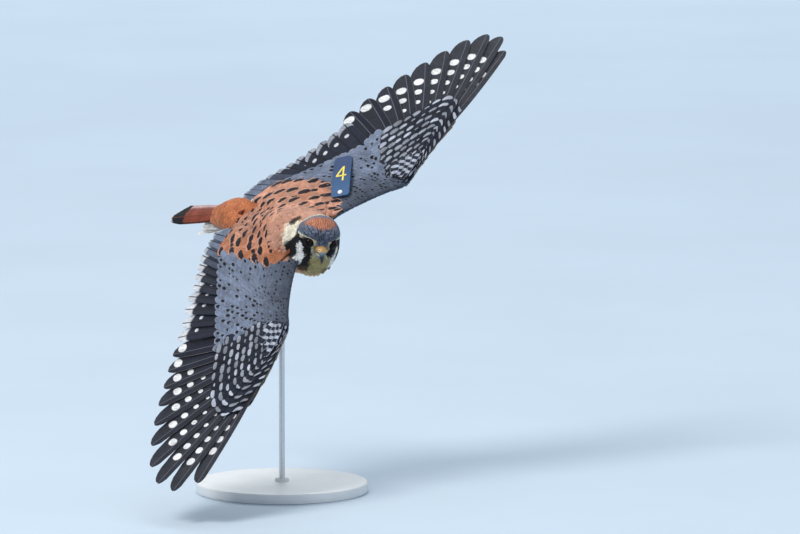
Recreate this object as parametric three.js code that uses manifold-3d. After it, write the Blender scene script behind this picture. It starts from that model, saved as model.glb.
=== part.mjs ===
// A male American kestrel, life size, banking in flight on a plain display stand.
// Millimetres, +Z up, origin at the middle of the stand's underside.
import * as THREE from "three";
import { mergeVertices } from "three/addons/utils/BufferGeometryUtils.js";
import Module from "manifold-3d";

const wasm = await Module();
wasm.setup();

// Sizes that drive the bird, in its own frame: x forward, y to its left, z out of its back
const GAP = 0.3;
const BODY_HEIGHT = 226;
const HEADING = -49.4;
const NOSE_UP = -0.8;
const BANK = 40.5;
const TAIL_ROOT = [-48, 0, 13];
const TAIL_LENGTH = 118;
const TAIL_DROOP = 11.3;
const TAIL_ROLL = 17;
const TAIL_SWING = -3.2;
const HUMERUS = 45;
const ULNA = 51;
const SHOULDER = [26, 17, 10];
const WRIST = [73, 87, -12];
const PRIMARY_LENGTHS = [102, 105, 109, 116, 124, 134, 145, 152, 151, 135];
const PRIMARY_ROOTS = [4, 9, 14, 18, 23, 27, 31, 34, 36, 38];
const SECONDARY_COUNT = 11;
const TERTIAL_COUNT = 4;
const EYE_RADIUS = 5.3;
const EYE = [9.4, 9.6, -2.3];
const HEAD_CENTRE = [56, 0, 8];
const HEAD_TURN = { yaw: -28.5, pitch: 5.7, roll: -42.8 };
const BASE_RADIUS = 75;
const BASE_THICKNESS = 9;
const ROD_RADIUS = 2.5;
const ROD_REACH = 12;

// How each wing is held: the finger's direction, the way back from it, the fan of the primaries
// from the innermost to the outermost, and the trailing edge as [y, x, z] from the body outwards
const WINGS = {
  left: {
    side: 1,
    hand: [-0.148, 0.988, -0.059],
    back: [-0.925, -0.113, 0.357],
    fan: [58.9, -1.6],
    ease: 0.365,
    trailing: [[20, -61, 15], [37, -57, 14], [50, -49, 13.5], [64, -40, 13], [87, -26, 14], [118, -11, 15]],
  },
  right: {
    side: -1,
    hand: [0.294, -0.946, -0.117],
    back: [-0.93, -0.316, 0.189],
    fan: [72.3, 10],
    ease: -0.02,
    trailing: [[20, -57, 15], [47, -52, 14], [66, -43, 13], [82, -34, 12], [98, -29, 10], [134, -13, 5]],
  },
};

const radians = THREE.MathUtils.degToRad;
const lerp = THREE.MathUtils.lerp;
const vector = (x, y, z) => new THREE.Vector3(x, y, z);
const mix = (a, b, t) => a.clone().lerp(b, t);
const step = (a, direction, distance) => a.clone().addScaledVector(direction, distance);

// A closed geometry through rings of points. Columns in flipped take the other diagonal.
function loft(rings, flipped = []) {
  const count = rings[0].length;
  const index = [];
  for (let i = 0; i + 1 < rings.length; i++) {
    for (let j = 0; j < count; j++) {
      const a = i * count + j;
      const b = i * count + ((j + 1) % count);
      const c = b + count;
      const d = a + count;
      if (flipped.includes(j)) index.push(a, b, d, b, c, d);
      else index.push(a, b, c, a, c, d);
    }
  }
  const last = (rings.length - 1) * count;
  for (let j = 1; j + 1 < count; j++) {
    index.push(0, j + 1, j, last, last + j, last + j + 1);
  }
  const geometry = new THREE.BufferGeometry().setFromPoints(rings.flat());
  return geometry.setIndex(index);
}

// A closed geometry as a solid that faces outwards
function solid(geometry) {
  const plain = geometry.clone();
  plain.deleteAttribute("normal");
  plain.deleteAttribute("uv");
  const merged = mergeVertices(plain, 1e-4);
  const triVerts = new Uint32Array(merged.index.array);
  const vertProperties = merged.attributes.position.array;
  const made = new wasm.Manifold(new wasm.Mesh({ numProp: 3, vertProperties, triVerts }));
  if (made.volume() >= 0) return made;
  for (let i = 0; i < triVerts.length; i += 3) {
    [triVerts[i + 1], triVerts[i + 2]] = [triVerts[i + 2], triVerts[i + 1]];
  }
  return new wasm.Manifold(new wasm.Mesh({ numProp: 3, vertProperties, triVerts }));
}

const union = (solids) => wasm.Manifold.union(solids);

// The largest closed surface of a solid, as a geometry
function geometryOf(made) {
  const pieces = made.decompose().sort((a, b) => b.volume() - a.volume());
  const mesh = pieces[0].simplify(0.03).getMesh();
  const geometry = new THREE.BufferGeometry();
  geometry.setAttribute("position", new THREE.BufferAttribute(mesh.vertProperties, 3));
  geometry.setIndex(new THREE.BufferAttribute(mesh.triVerts, 1));
  geometry.computeVertexNormals();
  return geometry;
}

// A smooth value through [position, value] pairs, by Catmull-Rom
function profile(points, x) {
  const last = points.length - 1;
  if (x <= points[0][0]) return points[0][1];
  if (x >= points[last][0]) return points[last][1];
  const i = points.findIndex((p) => p[0] > x) - 1;
  const [p0, p1, p2, p3] = [-1, 0, 1, 2].map((k) => points[Math.min(last, Math.max(0, i + k))][1]);
  const t = (x - points[i][0]) / (points[i + 1][0] - points[i][0]);
  const curve = 2 * p1 + (p2 - p0) * t + (2 * p0 - 5 * p1 + 4 * p2 - p3) * t * t;
  return 0.5 * (curve + (3 * p1 - p0 - 3 * p2 + p3) * t * t * t);
}

// Torso, rump and neck: rings round the spine, parted by thin cuts
const BODY_WIDTH = [
  [-84, 4], [-66, 9.5], [-46, 15], [-25, 21], [0, 26.5], [20, 29], [38, 28], [48, 25],
];
const BODY_DEPTH = [
  [-84, 2], [-66, 5.5], [-46, 11.5], [-25, 18.5], [0, 24.5], [20, 27], [38, 27], [48, 25],
];
const BODY_MIDDLE = [
  [-84, 2.5], [-66, 4.5], [-46, 3.5], [-25, 0.5], [0, -2], [20, -2.5], [38, -2], [48, -0.5],
];
const BODY_STATIONS = [-78, -70, -60, -50, -40, -30, -18, -6, 6, 18, 28];
const STATION_GAP = 3;
const BODY_SIDES = 22;
const NECK_BASE = 34;
const TAIL_BASE = -50;

function bodyRing(x, grow) {
  const middle = profile(BODY_MIDDLE, x);
  return Array.from({ length: BODY_SIDES }, (_, k) => {
    const angle = (2 * Math.PI * k) / BODY_SIDES;
    const y = (profile(BODY_WIDTH, x) + grow) * Math.sin(angle);
    return vector(x, y, middle + (profile(BODY_DEPTH, x) + grow) * Math.cos(angle));
  });
}

function bodyForm(from, to, grow = 0) {
  const inner = BODY_STATIONS.filter((x) => x > from + STATION_GAP && x < to - STATION_GAP);
  return solid(loft([from, ...inner, to].map((x) => bodyRing(x, grow))));
}

// Head, in a frame of its own: x towards the bill, y to the bird's left, z to the crown
const headPlace = new THREE.Object3D();
headPlace.position.set(...HEAD_CENTRE);
headPlace.rotation.set(
  radians(HEAD_TURN.roll),
  radians(-HEAD_TURN.pitch),
  radians(HEAD_TURN.yaw),
  "ZYX",
);
headPlace.updateMatrix();
const onHead = (geometry) => geometry.clone().applyMatrix4(headPlace.matrix);

const HEAD_LENGTH = [[-1, 18.5], [1, 17]];
const HEAD_WIDTH = 19.5;
const CROWN_HEIGHT = 19.2;
const THROAT_DEPTH = 17.5;
const BROW_RISE = 1.2;

function headPoint(direction, grow = 0) {
  const { x, y, z } = direction;
  const taper = 1 - 0.3 * Math.max(0, x) ** 2;
  const rise = BROW_RISE * Math.exp(-((x - 0.62) ** 2 + (Math.abs(y) - 0.7) ** 2 + (z - 0.24) ** 2) / 0.04);
  const length = profile(HEAD_LENGTH, x) + grow;
  const height = (z > 0 ? CROWN_HEIGHT : THROAT_DEPTH) + grow;
  return vector(
    x * length + rise * 0.5,
    Math.sign(y) * (Math.abs(y) * (HEAD_WIDTH + grow) * taper + rise * 0.6),
    z * height * (1 - 0.12 * Math.max(0, x)) + rise - 1.6 * Math.max(0, x) ** 2,
  );
}

function headForm(grow = 0) {
  const ball = new THREE.SphereGeometry(1, 26, 18).rotateX(Math.PI / 2);
  const position = ball.attributes.position;
  for (let i = 0; i < position.count; i++) {
    const point = headPoint(vector().fromBufferAttribute(position, i), grow);
    position.setXYZ(i, point.x, point.y, point.z);
  }
  return ball;
}

// A ring of eyelid round each eye, and the socket that the eye sits in
function eyeBall(side, grow = 0) {
  const ball = new THREE.SphereGeometry(EYE_RADIUS + grow, 16, 12);
  return ball.translate(EYE[0], side * EYE[1], EYE[2]);
}

function eyelid(side) {
  const ring = new THREE.TorusGeometry(EYE_RADIUS - 0.5, 1.0, 5, 16);
  const facing = vector(0.6, side * 0.8, 0.04).normalize();
  ring.applyQuaternion(new THREE.Quaternion().setFromUnitVectors(vector(0, 0, 1), facing));
  const middle = step(vector(EYE[0], side * EYE[1], EYE[2]), facing, 1.9);
  return ring.translate(middle.x, middle.y, middle.z);
}

// The bill: sections along a line that hooks down, each an egg shape cut by the mouth line
const BILL_LINE = [[12, -6], [16, -5.6], [19, -6.2], [21.8, -8.2], [24, -11.4], [25.3, -15], [25.5, -17]];
const BILL_WIDTHS = [5.6, 5.3, 4.5, 3.4, 2.3, 1.1, 0.4];
const BILL_HEIGHTS = [4.6, 4.4, 3.9, 3.3, 2.3, 1.1, 0.4];
const JAW_LINE = [[11.5, -11.6], [15, -11.4], [18, -11.9], [20.6, -12.9]];
const JAW_WIDTHS = [4.8, 4.1, 2.9, 1.1];
const JAW_HEIGHTS = [2.8, 2.2, 1.6, 0.8];

function billForm(line, widths, heights, grow = 0) {
  const sides = 12;
  const rings = line.map(([x, z], i) => {
    const before = line[Math.max(0, i - 1)];
    const after = line[Math.min(line.length - 1, i + 1)];
    const along = vector(after[0] - before[0], 0, after[1] - before[1]).normalize();
    const up = vector(-along.z, 0, along.x);
    return Array.from({ length: sides }, (_, k) => {
      const angle = (2 * Math.PI * k) / sides;
      const point = vector(x, Math.sin(angle) * (widths[i] + grow), z);
      return step(point, up, Math.cos(angle) * (heights[i] + grow));
    });
  });
  return loft(rings);
}

function nostril(side) {
  const hole = new THREE.CylinderGeometry(0.8, 0.8, 4, 10);
  return hole.translate(18.4, side * 4.7, -5.2);
}

// The neck runs from the torso's front ring into rings set round the head
const COLLAR = [
  { forward: -6, below: 9.5, width: 22.5, height: 26 },
  { forward: 3, below: 10.5, width: 18, height: 21.5 },
  { forward: 9, below: 10, width: 12, height: 14.5 },
];

function neckForm(grow = 0) {
  const collar = COLLAR.map(({ forward, below, width, height }) =>
    Array.from({ length: BODY_SIDES }, (_, k) => {
      const angle = (2 * Math.PI * k) / BODY_SIDES + radians(HEAD_TURN.roll);
      const y = (width + grow) * Math.sin(angle);
      const z = (height + grow) * Math.cos(angle) - below;
      return vector(forward, y, z).applyMatrix4(headPlace.matrix);
    }),
  );
  return solid(loft([bodyRing(NECK_BASE + GAP / 2, grow), ...collar]));
}

function buildHead() {
  const upper = solid(onHead(billForm(BILL_LINE, BILL_WIDTHS, BILL_HEIGHTS)));
  const upperGrown = solid(onHead(billForm(BILL_LINE, BILL_WIDTHS, BILL_HEIGHTS, GAP)));
  const lowerGrown = solid(onHead(billForm(JAW_LINE, JAW_WIDTHS, JAW_HEIGHTS, GAP)));
  const lower = solid(onHead(billForm(JAW_LINE, JAW_WIDTHS, JAW_HEIGHTS))).subtract(upperGrown);
  let head = union([solid(onHead(headForm())), ...[1, -1].map((s) => solid(onHead(eyelid(s))))]);
  for (const side of [1, -1]) head = head.subtract(solid(onHead(eyeBall(side, GAP))));
  head = head.subtract(upperGrown).subtract(lowerGrown);
  const holes = union([1, -1].map((s) => solid(onHead(nostril(s)))));
  return {
    head,
    bill_upper: upper.subtract(holes),
    bill_lower: lower,
    eye_left: solid(onHead(eyeBall(1))),
    eye_right: solid(onHead(eyeBall(-1))),
    neck: neckForm().subtract(union([solid(onHead(headForm(GAP))), lowerGrown, upperGrown])),
  };
}

// Feathers: a vane follows its quill, is widest near its end, and slopes so that neighbours lap.
// Shares of the length, with the share of the full width at each
const FLIGHT_SHAPE = [[0, 0.2], [0.22, 0.62], [0.6, 1], [0.87, 0.88], [1, 0.16]];
const COVERT_SHAPE = [[0, 0.4], [0.6, 1], [1, 0.2]];
const LAP_SLOPE = 0.15;
const VANE_THICKNESS = 0.55;

const leadOf = ({ along, up, side }) => along.clone().cross(up).multiplyScalar(side);

// A point of the quill of a flight feather, which bows forwards and upwards between its ends
function quill(feather, t) {
  const { root, along, up, length, bow = 0.02, arch = 0.015 } = feather;
  const swell = 4 * t * (1 - t) * length;
  const point = step(root, along, length * t);
  return step(step(point, leadOf(feather), bow * swell), up, arch * swell);
}

function vane(feather, line = (t) => quill(feather, t)) {
  const { up, outer, inner, shape = FLIGHT_SHAPE, slope = LAP_SLOPE } = feather;
  const lead = leadOf(feather);
  const top = VANE_THICKNESS / 2;
  const rings = shape.map(([t, share]) => {
    const middle = line(t);
    const across = (y, z) => step(step(middle, lead, y * share), up, z + y * share * slope);
    return [across(outer, top), across(-inner, top), across(-inner, -top), across(outer, -top)];
  });
  return solid(loft(rings));
}

// A covert lies along a flight feather, from one share of its length to another, and rises over it
function covert(feather, from, to, rise, outer, inner) {
  const line = (t) => step(quill(feather, lerp(from, to, t)), feather.up, lerp(rise[0], rise[1], t));
  return vane({ ...feather, outer, inner, shape: COVERT_SHAPE }, line);
}

// The frame of a wing: bone ends, the hand's axes and the way out of its upper face
function wingFrame(wing) {
  const flip = ([x, y, z]) => vector(x, wing.side * y, z);
  const shoulder = flip(SHOULDER);
  const wrist = flip(WRIST);
  const line = wrist.clone().sub(shoulder);
  const reach = line.length();
  line.normalize();
  const toElbow = (HUMERUS ** 2 + reach ** 2 - ULNA ** 2) / (2 * reach);
  const offset = Math.sqrt(Math.max(0, HUMERUS ** 2 - toElbow ** 2));
  const rearward = vector(-1, 0, 0.25);
  rearward.addScaledVector(line, -rearward.dot(line)).normalize();
  const elbow = step(step(shoulder, line, toElbow), rearward, offset);
  const hand = vector(...wing.hand).normalize();
  const back = vector(...wing.back);
  back.addScaledVector(hand, -back.dot(hand)).normalize();
  const normal = hand.clone().cross(back).multiplyScalar(wing.side);
  return { ...wing, shoulder, elbow, wrist, hand, back, normal };
}

function primaries(frame) {
  return PRIMARY_LENGTHS.map((length, k) => {
    const t = k / 9;
    const angle = radians(lerp(frame.fan[0], frame.fan[1], t + frame.ease * t * (1 - t)));
    const along = frame.hand.clone().multiplyScalar(Math.cos(angle));
    along.addScaledVector(frame.back, Math.sin(angle));
    return {
      root: step(frame.wrist, frame.hand, PRIMARY_ROOTS[k]),
      along,
      up: frame.normal.clone(),
      side: frame.side,
      length,
      outer: lerp(5.5, 3.4, t),
      inner: lerp(11.5, 9.5, t),
    };
  });
}

const ARM_UP = vector(0.21, 0, 0.98);

// Secondaries sit on the forearm and tertials on the upper arm; all end on the trailing edge
function secondaries(frame) {
  const outer = frame.trailing[frame.trailing.length - 1][0];
  const count = SECONDARY_COUNT + TERTIAL_COUNT;
  const edge = (k) => frame.trailing.map((point) => [point[0], point[k]]);
  return Array.from({ length: count }, (_, k) => {
    const share = Math.min(1, (k + 0.5) / SECONDARY_COUNT);
    const inward = Math.max(0, (k + 0.6 - SECONDARY_COUNT) / TERTIAL_COUNT);
    const root = k < SECONDARY_COUNT
      ? mix(frame.wrist, frame.elbow, share)
      : mix(frame.elbow, frame.shoulder, 0.8 * inward);
    const y = lerp(outer, 24, k / (count - 1));
    const tip = vector(profile(edge(1), y), frame.side * y, profile(edge(2), y));
    const along = tip.clone().sub(root);
    const length = along.length();
    along.normalize();
    const up = frame.normal.clone().lerp(ARM_UP, 0.3 + 0.7 * share);
    up.addScaledVector(along, -up.dot(along)).normalize();
    const webs = { outer: 6, inner: 8, bow: -0.01 };
    return { root: step(root, up, 0.6), along, up, side: frame.side, length, ...webs };
  });
}

// Tiers of coverts over the primaries, from the long row to the short one, and the alula
const HAND_TIER = { reach: [0.64, 0.46], from: 0.02, rise: [2.4, 2.3], outer: 5, inner: 6 };
const ALULA = [{ length: 38, turn: 6 }, { length: 30, turn: 14 }, { length: 22, turn: 24 }];

function handCoverts(frame, feathers) {
  const { reach, from, rise, outer, inner } = HAND_TIER;
  const pieces = feathers.map((feather, k) => {
    const to = lerp(reach[0], reach[1], k / (feathers.length - 1));
    return covert(feather, from, to, rise, outer, inner);
  });
  ALULA.forEach(({ length, turn }, i) => {
    const angle = radians(turn);
    const outward = frame.hand.clone().multiplyScalar(Math.cos(angle));
    const along = outward.addScaledVector(frame.back, Math.sin(angle));
    const root = step(step(frame.wrist, frame.back, -1.5 + 2.5 * i), frame.normal, 2.2 + 0.5 * i);
    const webs = { outer: 3, inner: 4.5, bow: 0.03 };
    pieces.push(vane({ root, along, up: frame.normal, side: frame.side, length, ...webs }));
  });
  return pieces;
}

// Tiers of coverts over the secondaries and tertials
const ARM_TIERS = [
  { reach: [0.64, 0.8], from: 0.0, rise: [3.2, 2.2], outer: 5.5, inner: 6.5, every: 1 },
  { reach: [0.4, 0.52], from: 0.0, rise: [5, 4.4], outer: 6.5, inner: 7.5, every: 1.5 },
];
// Scapulars lie over the shoulder, as [x, y, z] of their roots and tips
const SCAPULARS = [
  [[28, 24, 16], [-12, 36, 17]],
  [[18, 21, 17.5], [-27, 32, 18]],
  [[8, 18, 19], [-40, 27, 18]],
  [[-2, 15, 20], [-51, 22, 17.5]],
];

function armCoverts(frame, feathers) {
  const pieces = [];
  for (const { reach, from, rise, outer, inner, every } of ARM_TIERS) {
    for (let k = 0; k < feathers.length; k += every) {
      const feather = feathers[Math.floor(k)];
      const to = lerp(reach[0], reach[1], k / (feathers.length - 1));
      pieces.push(covert(feather, from, to, rise, outer, inner));
    }
  }
  for (const [from, to] of SCAPULARS) {
    const root = vector(from[0], frame.side * from[1], from[2]);
    const along = vector(to[0], frame.side * to[1], to[2]).sub(root);
    const length = along.length();
    along.normalize();
    const up = vector(0, 0, 1).addScaledVector(along, -along.z).normalize();
    pieces.push(vane({ root, along, up, side: frame.side, length, outer: 9, inner: 9,
      shape: COVERT_SHAPE, slope: -0.15 }));
  }
  return pieces;
}

// The fleshy fore part of the wing, from inside the body to the finger's end
const WING_SIDES = 12;

function wingCore(frame) {
  const { side, wrist, hand, back, normal } = frame;
  const flip = (x, y, z) => vector(x, side * y, z);
  const blend = (share) => normal.clone().lerp(ARM_UP, share).normalize();
  const armStation = (front, rear, thick, share) =>
    ({ front: flip(...front), rear: flip(...rear), thick, up: blend(share) });
  const handStation = (distance, front, rear, thick) => ({
    front: step(step(wrist, hand, distance), back, -front),
    rear: step(step(wrist, hand, distance), back, rear),
    thick,
    up: normal,
  });
  const stations = [
    armStation([40, 8, 5], [-30, 8, 8], 10, 1),
    armStation([47, 22, 3], [-30, 24, 9], 9, 1),
    armStation([51, 38, -1], [-22, 42, 8], 7.5, 1),
    armStation([59, 57, -6], [-7, 62, 5], 6.5, 0.6),
    armStation([69, 74, -10], [14, 80, 2], 6.2, 0.3),
    handStation(0, 5, 34, 6.2),
    handStation(14, 5, 24, 5),
    handStation(28, 4, 16, 3.6),
    handStation(42, 3, 9, 2.4),
    handStation(54, 2, 4, 1.4),
  ];
  const rings = stations.map(({ front, rear, thick, up }) =>
    Array.from({ length: WING_SIDES }, (_, k) => {
      const angle = (2 * Math.PI * k) / WING_SIDES;
      const share = 0.5 - 0.5 * Math.cos(angle);
      const swell = Math.sin(angle) * (1 - 0.62 * share) * thick * 0.72;
      return step(mix(front, rear, share), up, swell);
    }),
  );
  return solid(loft(rings));
}

// The wing parts at the wrist, on a plane between the innermost primary and outermost secondary
function wristPlane(frame, inner, outer) {
  const between = inner.along.clone().add(outer.along).normalize();
  const across = frame.normal.clone().cross(between).normalize();
  return across.multiplyScalar(Math.sign(across.dot(frame.hand)));
}

function buildWing(name, bodyGrown) {
  const frame = wingFrame(WINGS[name]);
  const core = wingCore(frame);
  const outerFeathers = primaries(frame);
  const innerFeathers = secondaries(frame);
  const across = wristPlane(frame, innerFeathers[0], outerFeathers[0]);
  const place = step(frame.wrist, frame.hand, 1.5).dot(across);
  const beyond = (made) => made.trimByPlane(across.toArray(), place + GAP / 2);
  const within = (made) => made.trimByPlane(across.clone().negate().toArray(), -place + GAP / 2);
  return {
    [`wing_${name}_arm`]: within(
      union([core, ...innerFeathers.map((feather) => vane(feather)), ...armCoverts(frame, innerFeathers)]),
    ).subtract(bodyGrown),
    [`wing_${name}_hand`]: beyond(
      union([core, ...outerFeathers.map((feather) => vane(feather)), ...handCoverts(frame, outerFeathers)]),
    ),
  };
}

// Tail feathers lie over one another, the middle pair on top, and spread more on the left
const TAIL_PAIRS = 5;
const TAIL_FANS = { 1: 8, [-1]: 0.5 };
const TAIL_STEP = 1.6;
const tailTurn = new THREE.Euler(radians(TAIL_ROLL), radians(-TAIL_DROOP), radians(TAIL_SWING), "ZYX");
const onTail = (x, y, z) => vector(x, y, z).applyEuler(tailTurn);

function rectrices() {
  return [1, -1].flatMap((side) =>
    Array.from({ length: TAIL_PAIRS }, (_, k) => {
      const angle = radians((TAIL_FANS[side] * (k + 0.3)) / TAIL_PAIRS);
      const below = k * TAIL_STEP + (side < 0 ? TAIL_STEP / 2 : 0) + 1;
      return {
        root: vector(...TAIL_ROOT).add(onTail(4, side * (0.4 + 0.4 * k), -below)),
        along: onTail(-Math.cos(angle), side * Math.sin(angle), 0),
        up: onTail(0, 0, 1),
        side: -side,
        length: TAIL_LENGTH + 4 - 2 * k ** 1.4,
        outer: 6,
        inner: 5.6,
        slope: 0,
        bow: 0,
        arch: 0,
      };
    }),
  );
}

// Upper coverts lie on the middle feathers and lower ones under the outer feathers
function tailCoverts(feathers) {
  const middle = feathers[0];
  const lowest = feathers[TAIL_PAIRS - 1];
  const pieces = [];
  for (const side of [1, -1]) {
    for (let k = 0; k < 2; k++) {
      const along = onTail(-1, side * (0.05 + 0.06 * k), 0).normalize();
      const height = 1.2 + 0.9 * (1 - k) + 0.4 * side;
      const above = step(step(middle.root, middle.up, height), onTail(0, side, 0), 2 + 4 * k);
      const below = step(step(lowest.root, lowest.up, -height - 0.6), onTail(0, side, 0), 2 + 3 * k);
      const slip = { ...middle, side: -side, outer: 5.5, inner: 5.5, shape: COVERT_SHAPE, arch: 0.02 };
      pieces.push(vane({ ...slip, root: above, along, length: 44 - 7 * k }));
      pieces.push(vane({ ...slip, root: below, along, length: 58 - 9 * k, arch: -0.02 }));
    }
  }
  return pieces;
}

function buildTail() {
  const feathers = rectrices();
  const fan = union([...feathers.map((feather) => vane(feather)), ...tailCoverts(feathers)]);
  return union([bodyForm(-84, TAIL_BASE - GAP / 2), fan.trimByPlane([-1, 0, 0], GAP / 2 - TAIL_BASE)]);
}

// Legs are drawn up and laid back under the tail, the toes half closed
const THIGH = { centre: [-20, 10, -18], half: [17, 7.5, 9.5], pitch: 14 };
const HOCK = [-35, 8.5, -22];
const FOOT = [-67, 7, -14.5];
const TARSUS_RADIUS = 1.7;
const TOE_RADIUS = 1.35;
const CLAW_LENGTH = 7.5;
const TOES = [
  { turn: 0, length: 22, dip: 12 },
  { turn: 26, length: 15, dip: 16 },
  { turn: -24, length: 15, dip: 16 },
  { turn: 8, length: 10, dip: 62 },
];

function limb(path, radii, sides = 8) {
  const rings = path.map((point, i) => {
    const before = path[Math.max(0, i - 1)];
    const after = path[Math.min(path.length - 1, i + 1)];
    const along = after.clone().sub(before).normalize();
    const across = vector(0, 1, 0).addScaledVector(along, -along.y).normalize();
    const up = across.clone().cross(along);
    return Array.from({ length: sides }, (_, k) => {
      const angle = (2 * Math.PI * k) / sides;
      const out = across.clone().multiplyScalar(Math.cos(angle) * radii[i]);
      return point.clone().add(out.addScaledVector(up, Math.sin(angle) * radii[i]));
    });
  });
  return solid(loft(rings));
}

function thigh(side, grow = 0) {
  const [length, width, depth] = THIGH.half;
  const ball = new THREE.SphereGeometry(1, 16, 10);
  ball.scale(length + grow, width + grow, depth + grow).rotateY(radians(THIGH.pitch));
  return solid(ball.translate(THIGH.centre[0], side * THIGH.centre[1], THIGH.centre[2]));
}

// The way of a limb that trails behind, swung outwards and dropped by degrees
function trailing(swing, drop) {
  const level = Math.cos(radians(drop));
  const out = radians(swing);
  return vector(-level * Math.cos(out), level * Math.sin(out), -Math.sin(radians(drop)));
}

function toePath(side, { turn, length, dip }) {
  const points = [vector(FOOT[0], side * FOOT[1], FOOT[2])];
  for (let i = 0; i < 3; i++) {
    points.push(step(points[i], trailing(turn * side, dip + 14 * i), length / 3));
  }
  return points;
}

function clawPath(side, toe) {
  const points = toePath(side, toe);
  const tip = points[3];
  const path = [step(tip, tip.clone().sub(points[2]).normalize(), GAP)];
  for (let i = 0; i < 4; i++) {
    path.push(step(path[i], trailing(toe.turn * side, toe.dip + 34 + 22 * i), CLAW_LENGTH / 4));
  }
  return path;
}

function buildFoot(side) {
  const hock = vector(HOCK[0], side * HOCK[1], HOCK[2]);
  const foot = vector(FOOT[0], side * FOOT[1], FOOT[2]);
  const radii = [TARSUS_RADIUS + 0.5, TARSUS_RADIUS, TARSUS_RADIUS, TARSUS_RADIUS + 0.7];
  const tarsus = limb([hock, mix(hock, foot, 0.2), mix(hock, foot, 0.85), foot], radii);
  const toes = TOES.map((toe) => limb(toePath(side, toe), [1.6, 1.45, TOE_RADIUS, TOE_RADIUS - 0.2]));
  return union([tarsus, ...toes]).subtract(thigh(side, GAP));
}

const claw = (side, toe) => limb(clawPath(side, toe), [1.15, 1.0, 0.75, 0.45, 0.15], 6);

// The wing tag: a soft plate that lies over the left wing, held by one rivet near the front edge
const TAG_FRONT = [38, 51, 7];
const TAG_END = [14.5, 86.5, 12];
const TAG_WIDTH = 17;
const TAG_THICKNESS = 1;
const TAG_RISE = 1.2;
const RIVET_RADIUS = 2.2;
const PIN_RADIUS = 1;
const TAG_SLACK = 3;

function tagFrame() {
  const front = vector(...TAG_FRONT);
  const along = vector(...TAG_END).sub(front);
  const length = along.length();
  along.normalize();
  const up = ARM_UP.clone().addScaledVector(along, -ARM_UP.dot(along)).normalize();
  return { front, along, up, across: up.clone().cross(along), length };
}

function tagPlate(grow = 0) {
  const { front, along, up, across, length } = tagFrame();
  const half = TAG_WIDTH / 2;
  const outline = [[-4, 0.55], [-4 + 3, 0.9], [3, 1], [length - 4, 1], [length - 1, 0.85], [length, 0.6]];
  const rings = outline.map(([distance, share]) => {
    const bow = TAG_RISE * Math.sin((Math.PI * (distance + 4)) / (length + 4));
    const middle = step(step(front, along, distance), up, bow);
    const upper = [-1, 0, 1].map((y) => [y, grow]);
    const lower = [1, 0, -1].map((y) => [y, -TAG_THICKNESS]);
    return [...upper, ...lower].map(([y, z]) => step(step(middle, across, y * half * share), up, z));
  });
  return solid(loft(rings));
}

function pin(radius, from, to) {
  const { front, along, up, across } = tagFrame();
  const sides = 16;
  const ring = (height) => Array.from({ length: sides }, (_, k) => {
    const angle = (2 * Math.PI * k) / sides;
    const out = step(step(front, up, height), along, Math.cos(angle) * radius);
    return step(out, across, Math.sin(angle) * radius);
  });
  return solid(loft([ring(from), ring(to)]));
}

const pinHole = () => pin(PIN_RADIUS + GAP, -3, 6);

// The room that the tag, its pin and a gap round them take out of the wing
function tagRoom() {
  const below = tagFrame().up.multiplyScalar(-GAP);
  return union([pinHole(), tagPlate(TAG_SLACK).translate(below.toArray())]);
}

// The stand: a round foot with an eased rim, and an upright rod into the belly and into the foot
const ROD_TOP = BODY_HEIGHT - 26;
const ROD_FOOT = 3;

function standBase() {
  const points = [[0, 0], [BASE_RADIUS - 1, 0], [BASE_RADIUS, 1], [BASE_RADIUS, BASE_THICKNESS - 1.5],
    [BASE_RADIUS - 1.5, BASE_THICKNESS], [0, BASE_THICKNESS]].map(([x, y]) => new THREE.Vector2(x, y));
  return solid(new THREE.LatheGeometry(points, 56).rotateX(Math.PI / 2));
}

function rod(radius, from, to) {
  const cylinder = new THREE.CylinderGeometry(radius, radius, to - from, 24);
  return cylinder.rotateX(Math.PI / 2).translate(0, 0, (from + to) / 2);
}

const group = new THREE.Group();
const bird = new THREE.Group();
bird.position.z = BODY_HEIGHT;
bird.rotation.set(radians(BANK), radians(-NOSE_UP), radians(HEADING), "ZYX");
bird.updateMatrix();
group.add(bird);

const COLOURS = {
  head: 0x5c6672,
  bill_upper: 0x4a5360,
  bill_lower: 0x5c6672,
  eye_left: 0x120c08,
  eye_right: 0x120c08,
  neck: 0xb86a45,
  torso: 0xb86a45,
  tail: 0xa2512c,
  wing: 0x7d8490,
  thigh: 0xd8c2a4,
  foot: 0xd9a640,
  claw: 0x17140f,
  wing_tag: 0x24418c,
  wing_tag_rivet: 0xf2f2ee,
  stand: 0xc9ccd0,
};

function add(parent, name, made, colour = COLOURS[name]) {
  const material = new THREE.MeshStandardMaterial({ color: colour, roughness: 0.8, metalness: 0 });
  const mesh = new THREE.Mesh(geometryOf(made), material);
  mesh.name = name;
  parent.add(mesh);
}

for (const [name, made] of Object.entries(buildHead())) add(bird, name, made);
const bodyGrown = union([bodyForm(-84, NECK_BASE, GAP), neckForm(GAP)]);
const hole = rod(ROD_RADIUS + GAP, ROD_TOP - 60, ROD_TOP + ROD_REACH + GAP);
const socket = solid(hole.applyMatrix4(bird.matrix.clone().invert()));
add(bird, "torso", bodyForm(TAIL_BASE + GAP / 2, NECK_BASE - GAP / 2).subtract(socket));
add(bird, "tail", buildTail());
for (const side of ["left", "right"]) {
  for (const [name, made] of Object.entries(buildWing(side, bodyGrown))) {
    add(bird, name, name === "wing_left_arm" ? made.subtract(tagRoom()) : made, COLOURS.wing);
  }
  const y = side === "left" ? 1 : -1;
  add(bird, `thigh_${side}`, thigh(y).subtract(bodyGrown).subtract(socket), COLOURS.thigh);
  add(bird, `foot_${side}`, buildFoot(y), COLOURS.foot);
  TOES.forEach((toe, i) => add(bird, `claw_${side}_${i + 1}`, claw(y, toe), COLOURS.claw));
}
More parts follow.
